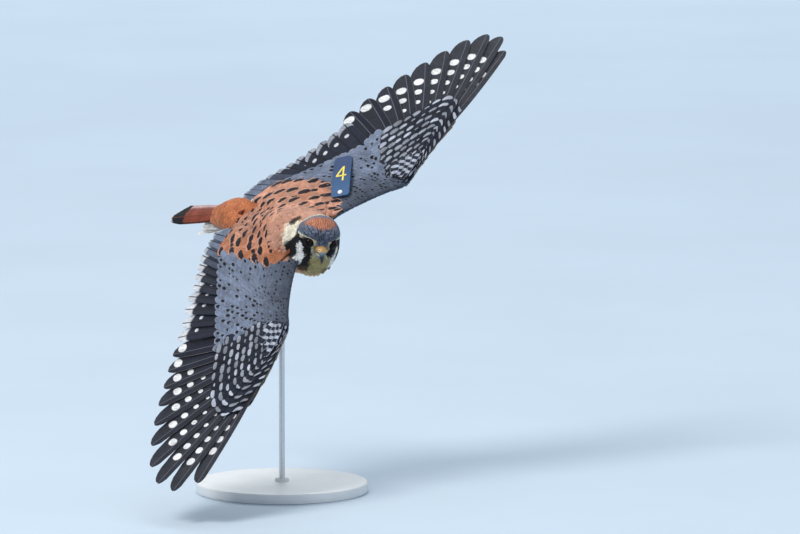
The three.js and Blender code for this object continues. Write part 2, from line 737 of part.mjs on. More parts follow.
add(bird, "wing_tag", tagPlate().subtract(pinHole()));
add(bird, "wing_tag_rivet", union([pin(PIN_RADIUS, -2.5, 2), pin(RIVET_RADIUS, 0.9, 2)]));
const foot = solid(rod(ROD_RADIUS + GAP, ROD_FOOT - GAP, BASE_THICKNESS + 10));
add(group, "stand_base", standBase().subtract(foot), COLOURS.stand);
add(group, "stand_rod", solid(rod(ROD_RADIUS, ROD_FOOT, ROD_TOP + ROD_REACH)), COLOURS.stand);

export default group;
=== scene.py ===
import functools
import math

import bmesh
import bpy
import numpy as np
from mathutils import Matrix, Vector
from mathutils.bvhtree import BVHTree


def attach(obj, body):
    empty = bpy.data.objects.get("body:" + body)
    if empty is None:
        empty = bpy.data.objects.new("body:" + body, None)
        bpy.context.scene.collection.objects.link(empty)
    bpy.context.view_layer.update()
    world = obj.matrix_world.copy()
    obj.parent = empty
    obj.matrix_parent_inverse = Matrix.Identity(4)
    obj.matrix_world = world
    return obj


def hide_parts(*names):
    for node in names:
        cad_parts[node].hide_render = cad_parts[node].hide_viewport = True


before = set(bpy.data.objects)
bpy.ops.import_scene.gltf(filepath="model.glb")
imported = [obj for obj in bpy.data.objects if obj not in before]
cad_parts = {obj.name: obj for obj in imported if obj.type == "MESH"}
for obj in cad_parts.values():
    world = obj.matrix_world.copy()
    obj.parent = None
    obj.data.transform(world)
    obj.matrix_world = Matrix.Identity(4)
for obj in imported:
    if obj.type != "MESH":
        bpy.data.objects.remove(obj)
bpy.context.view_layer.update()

MM = 0.001

# How the bird is held
BODY_HEIGHT = 226
HEADING = -49.4
NOSE_UP = -0.8
BANK = 40.5
HEAD_CENTRE = np.array([56.0, 0.0, 8.0])
HEAD_YAW = -28.5
HEAD_PITCH = 5.7
HEAD_ROLL = -42.8
COAT_DEPTH = 1.6

# Wings
HUMERUS = 45
ULNA = 51
SHOULDER = (26, 17, 10)
WRIST = (73, 87, -12)
PRIMARY_LENGTHS = (102, 105, 109, 116, 124, 134, 145, 152, 151, 135)
PRIMARY_ROOTS = (4, 9, 14, 18, 23, 27, 31, 34, 36, 38)
SECONDARY_COUNT = 8
TERTIAL_COUNT = 3
ARM_UP = np.array([0.21, 0.0, 0.98])
CORE_STATIONS = 56
CORE_SIDES = 24
CORE_FULLNESS = 0.72
CORE_TAPER = 0.62
# Each wing: its hand, the way back from it, how its primaries fan, its tips' colour and width,
# and the trailing edge of its secondaries as (out, x, z)
WINGS = {
    "left": dict(
        side=1,
        hand=(-0.148, 0.988, -0.059),
        back=(-0.925, -0.113, 0.357),
        fan=(58.9, -1.6),
        ease=0.365,
        tips=((0.30, 0.32, 0.37), 6.0),
        trailing=(
            (20, -61, 15), (37, -57, 14), (50, -49, 13.5), (64, -40, 13), (87, -26, 14), (118, -11, 15),
        ),
    ),
    "right": dict(
        side=-1,
        hand=(0.294, -0.946, -0.117),
        back=(-0.93, -0.316, 0.189),
        fan=(72.3, 10),
        ease=-0.02,
        tips=((0.60, 0.62, 0.67), 9.5),
        trailing=(
            (20, -57, 15), (47, -52, 14), (66, -43, 13), (82, -34, 12), (98, -29, 10), (134, -13, 5),
        ),
    ),
}

# Body sections: half width, half depth and middle height along the spine
BODY_WIDTH = ((-84, 4), (-66, 9.5), (-46, 15), (-25, 21), (0, 26.5), (20, 29), (38, 28), (48, 25))
BODY_DEPTH = ((-84, 2), (-66, 5.5), (-46, 11.5), (-25, 18.5), (0, 24.5), (20, 27), (38, 27), (48, 25))
BODY_MIDDLE = ((-84, 2.5), (-66, 4.5), (-46, 3.5), (-25, 0.5), (0, -2), (20, -2.5), (38, -2), (48, -0.5))
# Rings of the neck's end in the head's frame: forward, below, half width and half height
COLLAR = ((-6, 11.5, 22.5, 28), (3, 12.0, 18, 23.5), (9, 10.5, 12, 15))
BODY_TAIL_END = -84
NECK_BASE = 34

# Colours, as they reflect white light
RUFOUS = np.array([0.42, 0.150, 0.070])
SALMON = np.array([0.52, 0.265, 0.185])
DEEP_RUFOUS = np.array([0.225, 0.046, 0.022])
SLATE = np.array([0.125, 0.155, 0.225])
PALE_SLATE = np.array([0.30, 0.33, 0.40])
BLACK = np.array([0.006, 0.005, 0.008])
DUSKY = np.array([0.012, 0.016, 0.032])
WHITE = np.array([0.80, 0.80, 0.80])
CREAM = np.array([0.72, 0.60, 0.42])
BUFF = np.array([0.60, 0.38, 0.20])
OLIVE = np.array([0.31, 0.265, 0.12])
CROWN = np.array([0.60, 0.235, 0.135])
CAP = np.array([0.185, 0.205, 0.275])
# Painted shade, low on the neck's sides under the head
SHADE_UMBER = np.array([0.075, 0.045, 0.020])


def norm(v):
    return np.linalg.norm(v, axis=-1)


def unit(v):
    return v / norm(v)[..., None]


def blend(low, high, x):
    """0 below low, 1 above high and a smooth step between them."""
    t = np.clip((x - low) / (high - low), 0, 1)
    return t * t * (3 - 2 * t)


def mix(a, b, t):
    return a + (b - a) * t


def circle(count):
    """Angles evenly round a circle."""
    return np.arange(count) * 2 * math.pi / count


def turn(roll, pitch, yaw):
    """Roll about x, then pitch about y, then yaw about z, in degrees."""
    x = Matrix.Rotation(math.radians(roll), 3, "X")
    y = Matrix.Rotation(math.radians(pitch), 3, "Y")
    z = Matrix.Rotation(math.radians(yaw), 3, "Z")
    return np.array(z @ y @ x)


BIRD_AXES = turn(BANK, -NOSE_UP, HEADING)
HEAD_AXES = turn(HEAD_ROLL, -HEAD_PITCH, HEAD_YAW)


def in_part(points):
    return (points @ BIRD_AXES.T + (0, 0, BODY_HEIGHT)) * MM


def from_head(points):
    return np.asarray(points, float) @ HEAD_AXES.T + HEAD_CENTRE


def to_head(points):
    return (points - HEAD_CENTRE) @ HEAD_AXES


def head_in_part(points):
    return in_part(from_head(points))


def stand_in_part(points):
    return points * MM


def profile(points, x):
    """A smooth value through (place, value) pairs."""
    places, values = np.array(points, float).T
    last = len(places) - 1
    x = np.clip(x, places[0], places[-1])
    i = np.clip(np.searchsorted(places, x, side="right") - 1, 0, last - 1)
    p0, p1, p2, p3 = (values[np.clip(i + k, 0, last)] for k in (-1, 0, 1, 2))
    t = (x - places[i]) / (places[i + 1] - places[i])
    square = 2 * p0 - 5 * p1 + 4 * p2 - p3
    cube = 3 * p1 - p0 - 3 * p2 + p3
    return 0.5 * (2 * p1 + (p2 - p0) * t + square * t**2 + cube * t**3)


def resample(points, count):
    """count points along a smooth curve through a few."""
    points = np.array(points, float)
    steps = np.arange(len(points))
    at = np.linspace(0, len(points) - 1, count)
    return np.stack([profile(np.stack([steps, column], 1), at) for column in points.T], 1)


def run_along(line):
    """How far along a line each of its points is."""
    return np.concatenate([[0], np.cumsum(norm(np.diff(line, axis=0)))])


def at_runs(line, runs):
    """The places at given distances along a line."""
    own = run_along(line)
    return np.stack([np.interp(runs, own, column) for column in line.T], 1)


def between(values, row, column):
    """Values of a grid at places between its points."""
    i, j = row.astype(int), column.astype(int)
    f, g = (row - i)[..., None], (column - j)[..., None]
    near = mix(values[i, j], values[i, j + 1], g)
    return mix(near, mix(values[i + 1, j], values[i + 1, j + 1], g), f)


# Meshes and pieces
def loft_faces(rows, columns):
    """Quads between the rings of a tube."""
    i, j = np.meshgrid(np.arange(rows - 1), np.arange(columns), indexing="ij")
    a = i * columns + j
    b = i * columns + (j + 1) % columns
    return np.stack([a, b, b + columns, a + columns], -1).reshape(-1, 4)


def loft(rings):
    """A closed tube through rings of points, as (points, faces)."""
    rings = np.asarray(rings, float)
    rows, columns = rings.shape[:2]
    points = np.concatenate([rings.reshape(-1, 3), [rings[0].mean(0), rings[-1].mean(0)]])
    faces = [list(f) for f in loft_faces(rows, columns)]
    first, last = rows * columns, rows * columns + 1
    end = (rows - 1) * columns
    for j in range(columns):
        faces.append([(j + 1) % columns, j, first])
        faces.append([end + j, end + (j + 1) % columns, last])
    return points, faces


def joined(parts):
    points, faces, start = [], [], 0
    for part_points, part_faces in parts:
        points.append(part_points)
        faces += [[start + k for k in face] for face in part_faces]
        start += len(part_points)
    return np.concatenate(points), faces


def grid_quads(grid):
    """Quads between the points of a grid of point numbers."""
    return np.stack([grid[:-1, :-1], grid[:-1, 1:], grid[1:, 1:], grid[1:, :-1]], -1).reshape(-1, 4)


def new_mesh(name, points, faces):
    mesh = bpy.data.meshes.new(name)
    mesh.from_pydata([tuple(p) for p in points], [], [tuple(f) for f in faces])
    mesh.validate()
    return mesh


def linked(name, data):
    """A new object in the scene."""
    thing = bpy.data.objects.new(name, data)
    bpy.context.scene.collection.objects.link(thing)
    return thing


def applied(thing):
    """The plain mesh that an object's modifiers make of it, in place of the object."""
    made = bpy.data.meshes.new_from_object(thing.evaluated_get(bpy.context.evaluated_depsgraph_get()))
    bpy.data.objects.remove(thing)
    return made


def outward(mesh):
    """Turns every closed shell's faces outwards."""
    work = bmesh.new()
    work.from_mesh(mesh)
    bmesh.ops.recalc_face_normals(work, faces=work.faces)
    work.to_mesh(mesh)
    work.free()


def set_colour(mesh, name, colours):
    """Gives a mesh a colour attribute, from one colour or one for each point."""
    colours = np.asarray(colours)
    values = np.ones((len(mesh.vertices), 4), np.float32)
    values[:, : colours.shape[-1]] = colours
    mesh.attributes.new(name, "FLOAT_COLOR", "POINT").data.foreach_set("color", values.ravel())


def piece(name, mesh, material, nodes):
    """A finished piece of the bird or its stand, which stands for the named nodes."""
    thing = linked(name, mesh)
    mesh.materials.clear()
    mesh.materials.append(material)
    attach(thing, "root")
    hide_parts(*nodes)


def solid_piece(name, parts, material, nodes, colours=None, place=in_part, sharp=50):
    """A piece of closed solids, whose edges past the angle sharp stay crisp."""
    points, faces = joined(parts)
    mesh = new_mesh(name, place(points), faces)
    outward(mesh)
    mesh.set_sharp_from_angle(angle=math.radians(sharp))
    if colours is not None:
        set_colour(mesh, "ground", colours)
    piece(name, mesh, material, nodes)


# Materials
def put(tree, kind, values=(), **settings):
    """Adds a node, and fills its sockets in order or by name. None leaves one as it is."""
    node = tree.nodes.new(kind)
    for key, value in settings.items():
        setattr(node, key, value)
    for key, value in values.items() if isinstance(values, dict) else enumerate(values):
        if isinstance(value, bpy.types.NodeSocket):
            tree.links.new(value, node.inputs[key])
        elif value is not None:
            node.inputs[key].default_value = value
    return node


def maths(tree, operation, *values):
    return put(tree, "ShaderNodeMath", values, operation=operation).outputs[0]


def mixed(tree, share, a, b):
    values = (share, None, None, None, None, None, a, b)
    return put(tree, "ShaderNodeMix", values, data_type="RGBA").outputs[2]


def ramp(tree, value, low, high, low_out=0.0, high_out=1.0):
    values = (value, low, high, low_out, high_out)
    return put(tree, "ShaderNodeMapRange", values, interpolation_type="SMOOTHSTEP").outputs[0]


def attribute(tree, name):
    return put(tree, "ShaderNodeAttribute", attribute_name=name)


def split(tree, socket):
    return put(tree, "ShaderNodeSeparateXYZ", (socket,)).outputs


def noise(tree, vector, scale, detail=3.0):
    values = {"Vector": vector, "Scale": scale, "Detail": detail}
    return put(tree, "ShaderNodeTexNoise", values).outputs["Fac"]


def object_place(tree):
    return put(tree, "ShaderNodeTexCoord").outputs["Object"]


def new_material(name, roughness, **settings):
    """A material with its Principled shader, whose sockets settings names."""
    material = bpy.data.materials.new(name)
    material.use_nodes = True
    tree = material.node_tree
    shader = tree.nodes["Principled BSDF"]
    shader.inputs["Roughness"].default_value = roughness
    for key, value in settings.items():
        shader.inputs[key.replace("_", " ").title().replace("Ior", "IOR")].default_value = value
    return material, tree, shader


def scaled(tree, colour, value):
    """A colour made lighter or darker."""
    return put(tree, "ShaderNodeVectorMath", {0: colour, "Scale": value}, operation="SCALE").outputs[0]


def bump(tree, shader, height, strength, distance):
    node = put(tree, "ShaderNodeBump", {"Strength": strength, "Distance": distance, "Height": height})
    tree.links.new(node.outputs[0], shader.inputs["Normal"])


# Barbs: the gap between them, how they lean to the tip, how long their grain is and how high
BARB_GAP = 0.55
BARB_LEAN = 1.1
BARB_STRETCH = 0.16
BARB_HEIGHT = 0.00025
MARK_SQUARENESS = 2.3
MOTTLE_SCALE = 90


def plumage(name, streaks=0.3, ragged=0.5):
    """Feather vanes: barbs, a quill, oval marks and a pale rim, all placed by each vane's own attributes."""
    material, tree, shader = new_material(name, 0.6, sheen_weight=0.02, sheen_roughness=0.5)
    shader.inputs["Specular IOR Level"].default_value = 0.2
    do = functools.partial(maths, tree)
    across, to_tip, rim = split(tree, attribute(tree, "vane").outputs["Vector"])
    ground, spots, more, edge, quill, mark = (
        attribute(tree, part).outputs for part in ("ground", "spots", "more", "edge", "quill", "mark")
    )
    first, period, half_long = split(tree, spots["Vector"])
    last, centre, shrink = split(tree, more["Vector"])
    width = do("ABSOLUTE", across)
    barb = do("MULTIPLY_ADD", width, BARB_LEAN, to_tip)
    seed = do("MULTIPLY", ground["Alpha"], 90.0)
    lie = put(tree, "ShaderNodeCombineXYZ", (barb, do("MULTIPLY", across, BARB_STRETCH), seed)).outputs[0]
    clump = noise(tree, lie, 1.1, 4.0)
    ends = do("MULTIPLY", do("SUBTRACT", clump, 0.5), ragged)

    # The mark nearest to a point, and how far out in it the point is
    index = do("ROUND", do("DIVIDE", do("SUBTRACT", to_tip, first), period))
    index = do("MINIMUM", do("MAXIMUM", index, 0.0), last)
    middle = do("MULTIPLY_ADD", index, period, first)
    scale = do("SUBTRACT", 1.0, do("MULTIPLY", index, shrink))
    long = do("DIVIDE", do("SUBTRACT", to_tip, middle), do("MULTIPLY", half_long, scale))
    one_web = do("LESS_THAN", centre, 0.0)
    both_webs = do("MULTIPLY", width, do("SUBTRACT", 1.0, one_web))
    place = do("ADD", do("MULTIPLY", across, one_web), both_webs)
    wide = do("DIVIDE", do("SUBTRACT", place, centre), do("MULTIPLY", spots["Alpha"], scale))
    reach = do("ADD", *(do("POWER", do("ABSOLUTE", part), MARK_SQUARENESS) for part in (long, wide)))
    reach = do("POWER", reach, 1 / MARK_SQUARENESS)
    spotted = ramp(tree, do("ADD", reach, ends), 1.12, 0.9)

    inner_edge = do("MULTIPLY", edge["Alpha"], 0.72)
    rimmed = ramp(tree, do("ADD", rim, do("MULTIPLY", ends, 2.0)), edge["Alpha"], inner_edge)
    shaft = ramp(tree, width, quill["Alpha"], do("MULTIPLY", quill["Alpha"], 0.5))
    broad = noise(tree, scaled(tree, object_place(tree), MOTTLE_SCALE), 1.0, 2.0)
    value = ramp(tree, clump, 0.25, 0.75, 1.0 - streaks, 1.0 + streaks)
    value = do("MULTIPLY", value, ramp(tree, broad, 0.3, 0.7, 0.84, 1.12))
    wave = do("SINE", do("MULTIPLY", barb, 2 * math.pi / BARB_GAP))
    value = do("MULTIPLY", value, do("MULTIPLY_ADD", wave, 0.06, 1.0))
    colour = mixed(tree, spotted, ground["Color"], mark["Color"])
    colour = scaled(tree, mixed(tree, rimmed, colour, edge["Color"]), value)
    tree.links.new(mixed(tree, shaft, colour, quill["Color"]), shader.inputs["Base Color"])
    bump(tree, shader, do("MULTIPLY_ADD", wave, 0.35, clump), 0.5, BARB_HEIGHT)
    return material


def held_colour(name, roughness, scale, contrast, shade, relief, **settings):
    """A surface in the colours that its mesh holds, dappled by fine grain."""
    material, tree, shader = new_material(name, roughness, **settings)
    grain = noise(tree, object_place(tree), scale, 4.0)
    colour = scaled(tree, attribute(tree, "ground").outputs["Color"], ramp(tree, grain, *contrast, *shade))
    tree.links.new(colour, shader.inputs["Base Color"])
    bump(tree, shader, grain, *relief)
    return material


def skin_down():
    return held_colour("skin_down", 0.8, 1400.0, (0.25, 0.75), (0.55, 1.0), (0.6, 0.0005),
                       sheen_weight=0.1)


def horn(name, roughness, dapple, scale):
    """Bill, cere, legs, claws and the tag's cloth."""
    shade = (1 - dapple, 1 + dapple)
    return held_colour(name, roughness, scale, (0.3, 0.7), shade, (0.25, 0.0002),
                       coat_weight=0.25, coat_roughness=0.25)


def eye_gloss():
    """Eyes and lids, dark and wet."""
    material, tree, shader = new_material("eye_gloss", 0.3, coat_weight=0.14, coat_roughness=0.03)
    shader.inputs["Specular IOR Level"].default_value = 0.05
    tree.links.new(attribute(tree, "ground").outputs["Color"], shader.inputs["Base Color"])
    return material


def plain(name, colour, roughness, scale=300.0, dapple=0.06, depth=0.0002, **settings):
    """One colour with fine grain."""
    material, tree, shader = new_material(name, roughness, **settings)
    grain = noise(tree, object_place(tree), scale, 5.0)
    low = tuple(c * (1 - dapple) for c in colour) + (1,)
    high = tuple(min(1, c * (1 + dapple)) for c in colour) + (1,)
    tree.links.new(mixed(tree, ramp(tree, grain, 0.3, 0.7), low, high), shader.inputs["Base Color"])
    bump(tree, shader, grain, 0.3, depth)
    return material


# Body, head and neck under the coat
BODY_SIDES = 44


def body_ring(x, grow):
    angle = circle(BODY_SIDES)
    y = (profile(BODY_WIDTH, x) + grow) * np.sin(angle)
    z = profile(BODY_MIDDLE, x) + (profile(BODY_DEPTH, x) + grow) * np.cos(angle)
    return np.stack([np.full(BODY_SIDES, float(x)), y, z], 1)


def collar_ring(forward, below, width, height, grow):
    angle = circle(BODY_SIDES) + math.radians(HEAD_ROLL)
    y = (width + grow) * np.sin(angle)
    z = (height + grow) * np.cos(angle) - below
    return from_head(np.stack([np.full(BODY_SIDES, float(forward)), y, z], 1))


def body_form(grow):
    return loft([body_ring(x, grow) for x in np.linspace(BODY_TAIL_END, NECK_BASE, 40)])


def neck_form(grow):
    key = [body_ring(24, grow), body_ring(NECK_BASE, grow)] + [collar_ring(*ring, grow) for ring in COLLAR]
    key = np.array(key)
    return loft(resample(key.reshape(len(key), -1), 26).reshape(26, -1, 3)[4:])


def head_point(direction, grow):
    """A point of the head's surface, in the head's frame, from a direction out of its middle."""
    x, y, z = direction.T
    forward = np.maximum(0, x)
    rise = 1.2 * np.exp(-((x - 0.62) ** 2 + (np.abs(y) - 0.7) ** 2 + (z - 0.24) ** 2) / 0.04)
    length = mix(18.5, 17, (x + 1) / 2) + grow
    height = np.where(z > 0, 19.2, 17.5) + grow
    across = np.abs(y) * (19.5 + grow) * (1 - 0.3 * forward**2) + rise * 0.6
    up = z * height * (1 - 0.12 * forward) + rise - 1.6 * forward**2
    return np.stack([x * length + rise * 0.5, np.sign(y) * across, up], 1)


def sphere_rings(rows, columns):
    polar = np.linspace(0.04, math.pi - 0.04, rows)[:, None]
    round_ = circle(columns)[None]
    x = np.cos(polar) + 0 * round_
    return np.stack([x, np.sin(polar) * np.cos(round_), np.sin(polar) * np.sin(round_)], -1)


def head_form(grow):
    rings = sphere_rings(40, 56)
    return loft(from_head(head_point(rings.reshape(-1, 3), grow)).reshape(rings.shape))


def thigh_form(side, grow):
    rings = sphere_rings(16, 24)
    ball = rings.reshape(-1, 3) * (17 + grow, 7.5 + grow, 9.5 + grow)
    ball = ball @ turn(0, 14, 0).T + (-20, side * 10, -18)
    return loft(ball.reshape(rings.shape))


def feather(root, along, up, length, outer, inner, bow=0.0, arch=0.0):
    """A long feather: its line, its upward way, the widths of its two webs and how it bends."""
    return dict(root=root, along=along, up=up, length=length, outer=outer, inner=inner, bow=bow, arch=arch)


class Wing:
    """One wing: its bones, its fleshy fore part and its flight feathers."""

    def __init__(self, name):
        spec = WINGS[name]
        self.name = name
        self.side = spec["side"]
        self.fan, self.ease = spec["fan"], spec["ease"]
        self.trailing, self.tips = spec["trailing"], spec["tips"]
        flip = np.array([1, self.side, 1])
        self.shoulder = np.array(SHOULDER) * flip
        self.wrist = np.array(WRIST) * flip
        line = self.wrist - self.shoulder
        reach = np.linalg.norm(line)
        line = line / reach
        to_elbow = (HUMERUS**2 + reach**2 - ULNA**2) / (2 * reach)
        offset = math.sqrt(max(0, HUMERUS**2 - to_elbow**2))
        rearward = np.array([-1, 0, 0.25])
        rearward = unit(rearward - rearward.dot(line) * line)
        self.elbow = self.shoulder + line * to_elbow + rearward * offset
        self.hand = unit(np.array(spec["hand"]))
        back = np.array(spec["back"])
        self.back = unit(back - back.dot(self.hand) * self.hand)
        self.normal = np.cross(self.hand, self.back) * self.side
        self.primaries = [self.primary(k) for k in range(len(PRIMARY_LENGTHS))]
        self.secondaries = [self.secondary(k) for k in range(SECONDARY_COUNT + TERTIAL_COUNT)]
        self.front, self.rear, self.thick, self.up = self.core()

    def primary(self, k):
        t = k / (len(PRIMARY_LENGTHS) - 1)
        angle = math.radians(mix(self.fan[0], self.fan[1], t + self.ease * t * (1 - t)))
        along = self.hand * math.cos(angle) + self.back * math.sin(angle)
        root = self.wrist + self.hand * PRIMARY_ROOTS[k]
        return feather(root, along, self.normal, PRIMARY_LENGTHS[k], mix(6.4, 4.6, t), mix(19.0, 12.5, t),
                       bow=0.02, arch=0.015)

    def secondary(self, k):
        outer = self.trailing[-1][0]
        count = SECONDARY_COUNT + TERTIAL_COUNT
        share = min(1, (k + 0.5) / SECONDARY_COUNT)
        inward = max(0, (k + 0.6 - SECONDARY_COUNT) / TERTIAL_COUNT)
        if k < SECONDARY_COUNT:
            root = mix(self.wrist, self.elbow, share)
        else:
            root = mix(self.elbow, self.shoulder, 0.8 * inward)
        t = k / (count - 1)
        y = mix(outer, 24, t + 0.35 * t * (1 - t))
        x, z = (float(profile([(place[0], place[k]) for place in self.trailing], y)) for k in (1, 2))
        along = np.array([x, self.side * y, z]) - root
        length = float(np.linalg.norm(along))
        along = along / length
        up = mix(self.normal, ARM_UP, 0.3 + 0.7 * share)
        up = unit(up - up.dot(along) * along)
        return feather(root + up * 0.6, along, up, length, 6.6, 12.0, bow=-0.01, arch=0.015)

    def core(self):
        """Front edge, rear edge, thickness and upward way of the flesh, from body to finger."""
        flip = np.array([1, self.side, 1])
        arm = [
            ((40, 8, 5), (-30, 8, 8), 10, 1),
            ((47, 22, 3), (-30, 24, 9), 9, 1),
            ((51, 38, -1), (-22, 42, 8), 7.5, 1),
            ((59, 57, -6), (-7, 62, 5), 6.5, 0.6),
            ((69, 74, -10), (14, 80, 2), 6.2, 0.3),
        ]
        hand = [(0, 5, 34, 6.2), (14, 5, 24, 5), (28, 4, 16, 3.6), (42, 3, 9, 2.4), (54, 2, 4, 1.4)]
        rows = [
            (*(flip * front), *(flip * rear), thick, *unit(mix(self.normal, ARM_UP, share)))
            for front, rear, thick, share in arm
        ]
        for distance, front, rear, thick in hand:
            at = self.wrist + self.hand * distance
            rows.append((*(at - self.back * front), *(at + self.back * rear), thick, *self.normal))
        rows = resample(rows, CORE_STATIONS)
        return rows[:, 0:3], rows[:, 3:6], rows[:, 6], unit(rows[:, 7:10])

    def core_form(self, grow):
        angle = circle(CORE_SIDES)
        share = 0.5 - 0.5 * np.cos(angle)
        swell = np.sin(angle) * (1 - CORE_TAPER * share)
        flesh = mix(self.front[:, None], self.rear[:, None], share[None, :, None])
        height = swell[None] * (self.thick[:, None] * CORE_FULLNESS + grow)
        return loft(flesh + self.up[:, None] * height[..., None])

    def core_point(self, station, shares, above):
        """Points across the core at a station, on its upper face, or on its lower one where above is -1."""
        i = min(int(station), CORE_STATIONS - 2)
        front, rear, up, thick = (
            mix(a[i], a[i + 1], station - i) for a in (self.front, self.rear, self.up, self.thick)
        )
        swell = np.sqrt(1 - (1 - 2 * shares) ** 2) * (1 - CORE_TAPER * shares) * thick * CORE_FULLNESS
        return mix(front, rear, shares[:, None]) + up * (swell * above)[:, None]


WING = {name: Wing(name) for name in WINGS}


def build_skin():
    """One smooth skin of body, neck, head, thighs and the wings' fleshy parts."""
    grow = -COAT_DEPTH
    parts = {
        "body": [body_form(grow), neck_form(grow)],
        "head": [head_form(grow)],
        "wing_left": [WING["left"].core_form(grow)],
        "wing_right": [WING["right"].core_form(grow)],
        "thigh_left": [thigh_form(1, grow)],
        "thigh_right": [thigh_form(-1, grow)],
    }
    forms = {label: joined(found) for label, found in parts.items()}
    points, faces = joined(forms.values())
    raw = new_mesh("skin_raw", points, faces)
    outward(raw)
    thing = linked("skin_raw", raw)
    remesh = thing.modifiers.new("remesh", "REMESH")
    remesh.mode = "VOXEL"
    remesh.voxel_size = 1.0
    smooth = thing.modifiers.new("smooth", "SMOOTH")
    smooth.factor = 0.5
    smooth.iterations = 8
    made = applied(thing)
    bpy.data.meshes.remove(raw)
    return made, forms


def gathered(found, field, width, kind=np.float32):
    """A field of a mesh's points, corners or faces, as rows of numbers."""
    values = np.empty(len(found) * width, kind)
    found.foreach_get(field, values)
    return values.reshape(-1, width)


class Skin:
    """The skin's surface, for finding the nearest point and its outward way."""

    def __init__(self, mesh, forms):
        self.mesh = mesh
        self.points = gathered(mesh.vertices, "co", 3).astype(float)
        self.normals = gathered(mesh.vertex_normals, "vector", 3).astype(float)
        corners = gathered(mesh.loops, "vertex_index", 1, np.int32)[:, 0]
        self.quads = corners[gathered(mesh.polygons, "loop_start", 1, np.int32) + np.arange(4)]
        a, b, c, d = self.points[self.quads].transpose(1, 0, 2)
        self.face_points = self.points[self.quads].mean(1)
        self.face_normals = unit(self.normals[self.quads].mean(1))
        self.areas = 0.5 * norm(np.cross(c - a, d - b))
        self.tree = BVHTree.FromPolygons(self.points.tolist(), self.quads.tolist())
        self.labels = self.nearest_form(forms)

    def nearest_form(self, forms):
        gaps = []
        for points, faces in forms.values():
            tree = BVHTree.FromPolygons([tuple(p) for p in points], [tuple(f) for f in faces])
            gaps.append([tree.find_nearest(Vector(p))[3] for p in self.face_points])
        names = np.array(list(forms))
        return names[np.argmin(np.array(gaps), 0)]

    def nearest(self, points):
        """Surface points and smooth normals nearest to given points of any shape (..., 3)."""
        flat = points.reshape(-1, 3)
        found = [self.tree.find_nearest(Vector(p)) for p in flat]
        place = np.array([f[0] for f in found]).reshape(points.shape)
        normal = self.face_normals[[f[2] for f in found]].reshape(points.shape)
        return place, normal

    def scatter(self, faces, spacing, rng):
        """Evenly spaced points on chosen faces, no two nearer than spacing."""
        area = self.areas[faces]
        tries = int(10 * area.sum() / spacing**2)
        chosen = faces[rng.choice(len(faces), tries, p=area / area.sum())]
        shares = rng.dirichlet(np.ones(4), tries)
        points = (self.points[self.quads[chosen]] * shares[..., None]).sum(1)
        cells, kept = {}, []
        keys = np.floor(points / spacing).astype(int)
        for k in range(tries):
            near = (
                cells.get((keys[k, 0] + dx, keys[k, 1] + dy, keys[k, 2] + dz))
                for dx in (-1, 0, 1) for dy in (-1, 0, 1) for dz in (-1, 0, 1)
            )
            point = points[k]
            if all(((point - q) ** 2).sum() > spacing**2 for cell in near if cell for q in cell):
                cells.setdefault(tuple(keys[k]), []).append(point)
                kept.append(k)
        return points[kept]


# Markings, shared by the skin and the coat over it
def stripe(points, line, width):
    """1 within width of a line of points, fading to 0 past it."""
    best = np.full(len(points), 1e9)
    for a, b in zip(line[:-1], line[1:]):
        way = b - a
        t = np.clip(((points - a) @ way) / (way @ way), 0, 1)
        best = np.minimum(best, norm(points - a - t[:, None] * way))
    return 1 - blend(width - 0.7, width + 0.7, best)


def paint(colour, share, other):
    return colour + (other - colour) * share[:, None]


EYE = (9.4, 9.8, -2.9)
EYE_RADIUS = 4.5
EYE_FACING = (0.56, 0.82, 0.0)
PUPIL = np.array([0.001, 0.001, 0.001])
IRIS = np.array([0.007, 0.003, 0.002])
EYE_RIM = np.array([0.003, 0.002, 0.002])
LID_BLACK = (0.008, 0.007, 0.009)
LID_SIDES = 10
# Marks on the left of the face, as lines in the head's frame. The right has the same, mirrored
BROW_LINE = (
    (0, 20, 1.5), (4.4, 18.7, 2.6), (9, 17, 2.4), (13, 13.9, 0.8), (16, 10.5, -1.6), (18, 7.0, -4.4),
)
BROW_HEIGHT = (
    (-14, -4), (-8, -3), (-3, -1.5), (1, 1.5), (4.4, 2.6), (9, 2.4), (13, 0.8), (16, -1.6), (18, -4.4),
)
MALAR = (
    (12.8, 12.5, -4.5), (10.6, 10.8, -9), (9.4, 10, -14), (9.1, 9.9, -18), (6.8, 9.4, -23), (4.5, 8.8, -27),
)
# The black round the eye: its dark surround together with painted shade of its socket
EYE_PATCH = ((12.5, 12.5, -3.5), (9.6, 15.0, -2.5), (6.5, 16.8, -3.5), (8.6, 14, -7.5), (9.4, 12, -11))
EAR_STRIPE = ((0.8, 18.8, -1.0), (-1.5, 19.6, -6), (-3.3, 21, -10.5), (-3.2, 21.7, -16), (-1.5, 21.5, -19))
CHEEK = ((3.2, 17.4, -5.0), (4.8, 16.0, -12.5), (4.2, 14.4, -20.5), (0.5, 12, -27))
NAPE_SIDE = ((-11, 20.5, 4), (-10.5, 23.5, -3.5), (-11, 26, -10))
NAPE_SPOT = ((-14.5, 20, 4), (-15.5, 16.5, 9.5))
THROAT_SIDE = ((13, 5.2, -10.5), (11, 6.8, -13.5))
LORE = ((15.5, 10.5, -3.0), (17.5, 6.5, -5.6), (16, 7.5, -9))
FACE_RADIUS = 20
EYE_CLEAR = 5.3
BILL_CLEAR = 5.0
NAPE_CREAM = (0.90, 0.82, 0.66)
NAPE_BROWN = (0.05, 0.028, 0.022)
THROAT_GREY = (0.40, 0.41, 0.33)
BROW_PALE = (0.62, 0.58, 0.50)
EYE_BLACK = (0.004, 0.004, 0.006)


def on_face(points):
    """Points as directions from just below the head's middle, on a sphere of the face's size."""
    return unit(np.asarray(points, float) + (0, 0, 2)) * FACE_RADIUS


def head_reach(head):
    """How far points of the head's frame are from a place just below its middle."""
    return norm(head + (0, 0, 3))


